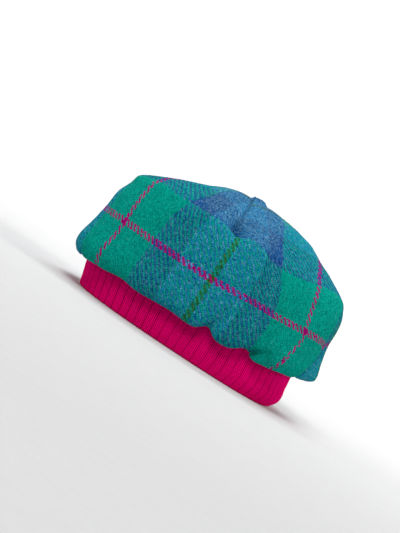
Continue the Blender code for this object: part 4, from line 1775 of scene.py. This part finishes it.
@dataclass(frozen=True)
class Gusset(ClothPiece):
    """A wedge of cloth that joins the two side panels."""

    columns: int = 64
    tip_row: str = "top_3"
    coarse_columns: int = 14
    top_margin: float = 0.10
    tip_margin: float = 0.02

    @property
    def end(self) -> int:
        """0 at the front and 1 at the back."""
        return int(self.facing is Facing.BACK)

    @property
    def middle(self) -> float:
        """Way round to the wedge's middle line."""
        return math.pi / 2 if self.end else -math.pi / 2

    def last(self) -> float:
        """Station of the top row, just short of the wedge's point."""
        return self.crown.station(self.tip_row) - self.top_margin

    def part_shares(self, fine: bool) -> list[np.ndarray]:
        """Columns from one seam to the other."""
        return [self.shares(self.columns if fine else self.coarse_columns, fine)]

    def azimuths(self, stations: np.ndarray, parts: list[np.ndarray]) -> list[np.ndarray]:
        """Ways round to the columns, from the left to the right as seen from outside.

        Args:
            stations: the rows.
            parts: the columns, as shares of the width.

        Returns:
            One grid, with a row for each station.
        """
        edge = self.crown.edge_azimuth(stations, self.end, -self.seam_gap / 2)[:, None]
        sides = (1 - 2 * parts[0]) if self.end else (2 * parts[0] - 1)
        return [self.middle + (edge - self.middle) * sides[None, :]]

    def tip(self) -> np.ndarray:
        """The wedge's point, between the two panels.

        Returns:
            Its place, on the hat's middle plane.
        """
        tip = self.crown.face(self.middle, self.crown.station(self.tip_row) - self.tip_margin)
        tip[0] = 0.0
        return tip

    def slit_row(self, stations: np.ndarray) -> int:
        """A gusset has no dart."""
        return len(stations)

    def turned_in(self, grid: np.ndarray, stations: np.ndarray, part: int) -> np.ndarray:
        """The face turns in at both seams, less where the wedge is narrow.

        Args:
            grid: the wedge's plain face.
            stations: its rows.
            part: always 0, because a wedge is one part; not used.

        Returns:
            A depth for each point.
        """
        near = np.minimum(self.away(grid, 0), self.away(grid, -1))
        width = self.away(grid, 0)[:, [-1]]
        depth = np.minimum(self.edge_seam.depth, width / 4)
        return depth * np.exp(-near / self.edge_seam.width) * self.crown.freedom(stations)[:, None]


@dataclass(frozen=True)
class KnitBand:
    """The doubled rib-knit band: broad ribs with narrow grooves, made of cords of small stitches."""

    shape: BandShape = BandShape()
    ribs: int = 68
    rib_depth: float = 0.8 * MM
    groove_share: float = 0.11
    groove_part: float = 0.75
    wales: int = 5
    wale_depth: float = 0.40 * MM
    inside_relief: float = 0.6
    top_fade: float = 0.6
    fade_from: float = 0.85
    corner: float = 0.7
    samples: int = 20
    wall_rows: int = 30
    rim_rows: int = 7
    walk_points: int = 1441
    name: str = "knit_band_ribbed"

    def section(self) -> np.ndarray:
        """The wall's section as rows of out, height, normal out, normal up and relief.

        Returns:
            Rows from the rim's lowest line up the outside, over the top and down the inside.
        """
        half, top = self.shape.wall / 2, self.shape.height
        straight = top - 1.5 * half
        rows = []
        for turn in np.linspace(0, 1, self.rim_rows)[:-1] * math.pi / 2:
            out, down = math.sin(turn), math.cos(turn)
            rows.append((half * out, half * (1 - down), out, -down, 1.0))
        for share in np.linspace(0, 1, self.wall_rows):
            relief = 1.0 - self.top_fade * smooth_step(self.fade_from, 1, share)
            rows.append((half, half + share * straight, 1.0, 0.0, relief))
        for side in (1, -1):
            rows.append((side * self.corner * half, top, side * self.corner, self.corner, 0.0))
        for share in np.linspace(1, 0, self.wall_rows // 2):
            rows.append((-half, half + share * straight, -1.0, 0.0, self.inside_relief))
        for turn in np.linspace(1, 0, self.rim_rows)[1:-1] * math.pi / 2:
            out, down = math.sin(turn), math.cos(turn)
            relief = self.inside_relief + (1 - self.inside_relief) * down
            rows.append((-half * out, half * (1 - down), -out, -down, relief))
        return np.array(rows)

    def ring(self) -> bpy.types.Object:
        """Make the smooth band, with what the ribs need stored on its points.

        Returns:
            The mesh that the ribs are drawn into.
        """
        section = self.section()
        rows, count, girth = len(section), self.ribs * self.samples, self.girth()
        azimuth = np.interp(np.arange(count) / count * girth, self.run(self.walk()), self.walk())
        rings, outward = [], []
        for out, height, normal_out, normal_up, _ in section:
            x, y, out_x, out_y = self.shape.outline(azimuth, height)
            inset = self.shape.wall / 2 - out
            level, lift = np.full(count, height), np.full(count, normal_up)
            rings.append(np.stack([x - out_x * inset, y - out_y * inset, level], axis=1))
            outward.append(np.stack([out_x * normal_out, out_y * normal_out, lift], axis=1))
        ids = np.arange(rows * count).reshape(rows, count)
        right, above = np.roll(ids, -1, axis=1), np.roll(ids, -1, axis=0)
        faces = np.stack([ids, right, np.roll(above, -1, axis=1), above], axis=2).reshape(-1, 4)
        steps = np.linalg.norm(np.diff(section[:, :2], axis=0, append=section[:1, :2]), axis=1)
        up = np.concatenate(([0.0], np.cumsum(steps)))
        left = np.arange(count) / count * girth
        left, far, low, high = np.broadcast_arrays(left, left + girth / count, up[:-1, None], up[1:, None])
        corners = ((left, low), (far, low), (far, high), (left, high))
        uv = np.stack([np.stack(corner, axis=2) for corner in corners], axis=2)
        made = add_mesh(self.name + "_host", np.concatenate(rings), faces.tolist(), uv.reshape(-1, 2))
        stored = (("turn", "FLOAT", "value", np.tile(np.arange(count) / self.samples, rows)),
                  ("relief", "FLOAT", "value", np.repeat(section[:, 4], count)),
                  ("outward", "FLOAT_VECTOR", "vector", np.concatenate(outward)))
        for key, kind, field, values in stored:
            layer = made.data.attributes.new(key, kind, "POINT")
            layer.data.foreach_set(field, np.ascontiguousarray(values, np.float32).ravel())
        return made

    def walk(self) -> np.ndarray:
        """Ways once round, close enough to measure by."""
        return np.linspace(0, math.tau, self.walk_points)

    def run(self, azimuth: np.ndarray) -> np.ndarray:
        """Length round the outer face at half its height, up to each way round."""
        x, y, _, _ = self.shape.outline(azimuth, self.shape.height / 2)
        return np.concatenate(([0.0], np.cumsum(np.hypot(np.diff(x), np.diff(y)))))

    def girth(self) -> float:
        """The band's length round its outer face, at half its height."""
        return float(self.run(self.walk())[-1])

    def build(self, fuzz: WoolFuzz, fibres: FibreFinish, seed: int) -> tuple:
        """Make the band and the fibres on it.

        Args:
            fuzz: how the fibres lie.
            fibres: the fibres' finish.
            seed: fixes where they fall.

        Returns:
            The band, the fibres and the band's length round.
        """
        girth = self.girth()
        finish = KnitFinish(wale=girth / self.ribs / self.wales).make()
        tree = GeometryTree("band_ribs", {"Rib Depth": self.rib_depth, "Groove Share": self.groove_share,
                                          "Wale Count": float(self.wales), "Wale Depth": self.wale_depth})
        turn, relief = tree.stored("turn"), tree.stored("relief")
        outward = tree.stored("outward", "FLOAT_VECTOR")
        from_groove = tree.maths("PINGPONG", turn, 0.5)
        rib = tree.take("ShaderNodeMapRange", {"interpolation_type": "SMOOTHSTEP"},
                        {0: from_groove, 1: 0.0, 2: tree.given("Groove Share"), 3: 0.0, 4: 1.0})
        swell = tree.maths("SINE", from_groove * math.pi)
        cord = tree.maths("ABSOLUTE", tree.maths("SINE", turn * tree.given("Wale Count") * math.pi))
        inset = (1 - rib) * self.groove_part + (1 - swell) * (1 - self.groove_part)
        inset = inset * tree.given("Rib Depth") + (1 - cord) * rib * tree.given("Wale Depth")
        offset = tree.scaled(outward, inset * relief * -1.0)
        moved = tree.take("GeometryNodeSetPosition", None,
                          {"Geometry": tree.given("Geometry"), "Offset": offset})
        # The knit's finish paints shade into the grooves that this marks
        marked = tree.take("GeometryNodeStoreNamedAttribute", {"data_type": "FLOAT", "domain": "POINT"},
                           {"Geometry": moved, "Name": "groove", "Value": 1 - rib})
        tree.end(marked, finish)
        host = self.ring()
        tree.put_on(host)
        band = bake_nodes(host, self.name)
        for key in ("turn", "relief", "outward"):
            band.data.attributes.remove(band.data.attributes[key])
        strays = fuzz.make(self.name + "_fibres", self.outside(band), fibres, seed)
        return band, strays, girth

    def outside(self, band: bpy.types.Object) -> bpy.types.Object:
        """Copy the lower half of the band's outer wall, which the tweed leaves bare.

        Args:
            band: the finished band.

        Returns:
            A mesh that the fibres are scattered over.
        """
        count = self.ribs * self.samples
        rows = self.wall_rows // 2
        points = np.zeros(len(band.data.vertices) * 3, np.float32)
        band.data.vertices.foreach_get("co", points)
        wall = points.reshape(-1, 3)[self.rim_rows * count:][:rows * count].astype(float)
        ids = np.arange(rows * count).reshape(rows, count)
        right = np.roll(ids, -1, axis=1)
        faces = np.stack([ids[:-1], right[:-1], right[1:], ids[1:]], axis=2).reshape(-1, 4)
        return add_mesh(self.name + "_shell", wall, faces.tolist())


class Lamp(NamedTuple):
    """A square soft light, with its size in metres and its power in watts.

    It looks at its target, or at the hat where it has none.
    """

    name: str
    place: tuple[float, float, float]
    size: float
    power: float
    target: tuple[float, float, float] | None = None


LAMPS = (
    Lamp("key", (1.6, -0.5, 2.0), 0.9, 42.5),
    Lamp("front", (0.6, -2.4, 0.6), 1.4, 18.0),
    Lamp("back", (0.4, 2.4, 1.2), 1.2, 38.0),
    Lamp("top", (0.0, -0.5, 2.2), 1.0, 8.0),
    Lamp("backdrop", (-0.9, 0.0, 2.4), 1.6, 106.0, (-2.8, 0.0, 1.0)),
)


@dataclass(frozen=True)
class Studio:
    """A seamless sheet of white paper, soft lights and the camera."""

    distance: float = 2.2
    elevation: float = 2.2
    aim: tuple[float, float, float] = (0.0, -0.0174, 0.0695)
    picture_up: tuple[float, float, float] = (0.0, -0.549, 0.836)
    lens: float = 170.8
    sensor: float = 36.0
    floor_near: float = 3.0
    floor_far: float = 1.6
    bend: float = 1.2
    wall: float = 3.5
    half_width: float = 4.5
    world: float = 0.155
    bend_steps: int = 24

    def sheet(self) -> None:
        """Add the floor, bent up behind the hat into a backdrop."""
        profile = [(self.floor_near, 0.0), (-self.floor_far, 0.0)]
        for turn in np.linspace(0, math.pi / 2, self.bend_steps)[1:]:
            profile.append((-self.floor_far - self.bend * math.sin(turn), self.bend * (1 - math.cos(turn))))
        profile.append((-self.floor_far - self.bend, self.wall))
        points = np.array([(x, y, z) for x, z in profile for y in (-self.half_width, self.half_width)])
        faces = [[2 * i, 2 * i + 2, 2 * i + 3, 2 * i + 1] for i in range(len(profile) - 1)]
        made = add_mesh("studio_sheet", points, [face[::-1] for face in faces])
        made.data.materials.append(PaperFinish().make())

    def light(self, lamp: Lamp) -> None:
        """Add one of the lamps.

        Args:
            lamp: what it is and where it stands.
        """
        data = bpy.data.lights.new(lamp.name, "AREA")
        data.shape = "SQUARE"
        data.size = lamp.size
        data.energy = lamp.power
        made = add_object(lamp.name, data)
        made.location = lamp.place
        ahead = Vector(lamp.target or self.aim) - Vector(lamp.place)
        made.rotation_euler = ahead.to_track_quat("-Z", "Y").to_euler()

    def camera(self) -> None:
        """Add the camera, a little above level and rolled as the picture is."""
        tilt = math.radians(self.elevation)
        aim = Vector(self.aim)
        place = aim + Vector((math.cos(tilt), 0.0, math.sin(tilt))) * self.distance
        ahead = (aim - place).normalized()
        right = ahead.cross(Vector(self.picture_up)).normalized()
        up = right.cross(ahead)
        data = bpy.data.cameras.new("camera")
        data.lens = self.lens
        data.sensor_fit = "VERTICAL"
        data.sensor_height = self.sensor
        data.clip_start = 0.05
        made = add_object("camera", data)
        turn = Matrix((right, up, -ahead)).transposed().to_4x4()
        made.matrix_world = Matrix.Translation(place) @ turn
        bpy.context.scene.camera = made

    def build(self) -> None:
        """Set up the whole studio."""
        self.sheet()
        self.camera()
        for lamp in LAMPS:
            self.light(lamp)
        world = bpy.data.worlds.new("studio")
        world.use_nodes = True
        shade = world.node_tree.nodes["Background"]
        shade.inputs["Color"].default_value = (1.0, 1.0, 1.0, 1.0)
        shade.inputs["Strength"].default_value = self.world
        bpy.context.scene.world = world
        bpy.context.scene.view_settings.view_transform = "Standard"


def report(piece: bpy.types.Object) -> None:
    """Log one finished piece."""
    triangles = sum(len(face.vertices) - 2 for face in piece.data.polygons)
    log.info("%s: %d triangles", piece.name, triangles)


def main() -> None:
    tweed = TweedFinish().make()
    wedge_tweed = TweedFinish(name="gusset_tweed").make()
    pale_wool = FibreFinish("tweed_fibres", (138, 186, 192), (36, 128, 146))
    pink_wool = FibreFinish("band_fibres", (224, 40, 130), (196, 10, 100))

    band_fuzz = WoolFuzz(density=30000.0, length=2.6 * MM, lift=0.35 * MM)
    band, band_fibres, girth = KnitBand().build(band_fuzz, pink_wool, BAND_SEED)
    for piece in (band, band_fibres):
        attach(piece, BODY)
        report(piece)
    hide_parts("knit_band")

    magenta = TWILL.half_ends * TWILL.end_pitch
    fuzz = WoolFuzz(density=26000.0, length=5.5 * MM)
    pieces = (
        (SidePanel("left_panel", Facing.LEFT, plaid_across=-3.5 * MM, plaid_up=71.5 * MM,
                   plaid=Plaid(LEFT_WARPS, LEFT_WEFTS)), "side_tweed", tweed),
        (SidePanel("right_panel", Facing.RIGHT, plaid_across=3.5 * MM - magenta, plaid_up=71.5 * MM),
         "side_tweed", tweed),
        (Gusset("front_gusset", Facing.FRONT, plaid_across=0.0, plaid_up=68.0 * MM),
         "gusset_tweed", wedge_tweed),
        (Gusset("back_gusset", Facing.BACK, plaid_across=-8.0 * MM, plaid_up=75.0 * MM),
         "gusset_tweed", wedge_tweed),
    )
    for number, (piece, slot, finish) in enumerate(pieces):
        cloth, strays, area, size = piece.build(finish, fuzz, pale_wool, CROWN_SEED + SEED_STEP * number)
        for part in (cloth, strays):
            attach(part, BODY)
            report(part)
        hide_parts(piece.name)
        log.info("%s is cut from %.0f x %.0f mm, %.4f square metres",
                 piece.name, size[0] / MM, size[1] / MM, area)

    Studio().build()
    bpy.context.view_layer.update()


if __name__ == "__main__":
    logging.basicConfig(level=logging.INFO, format="%(message)s")
    main()
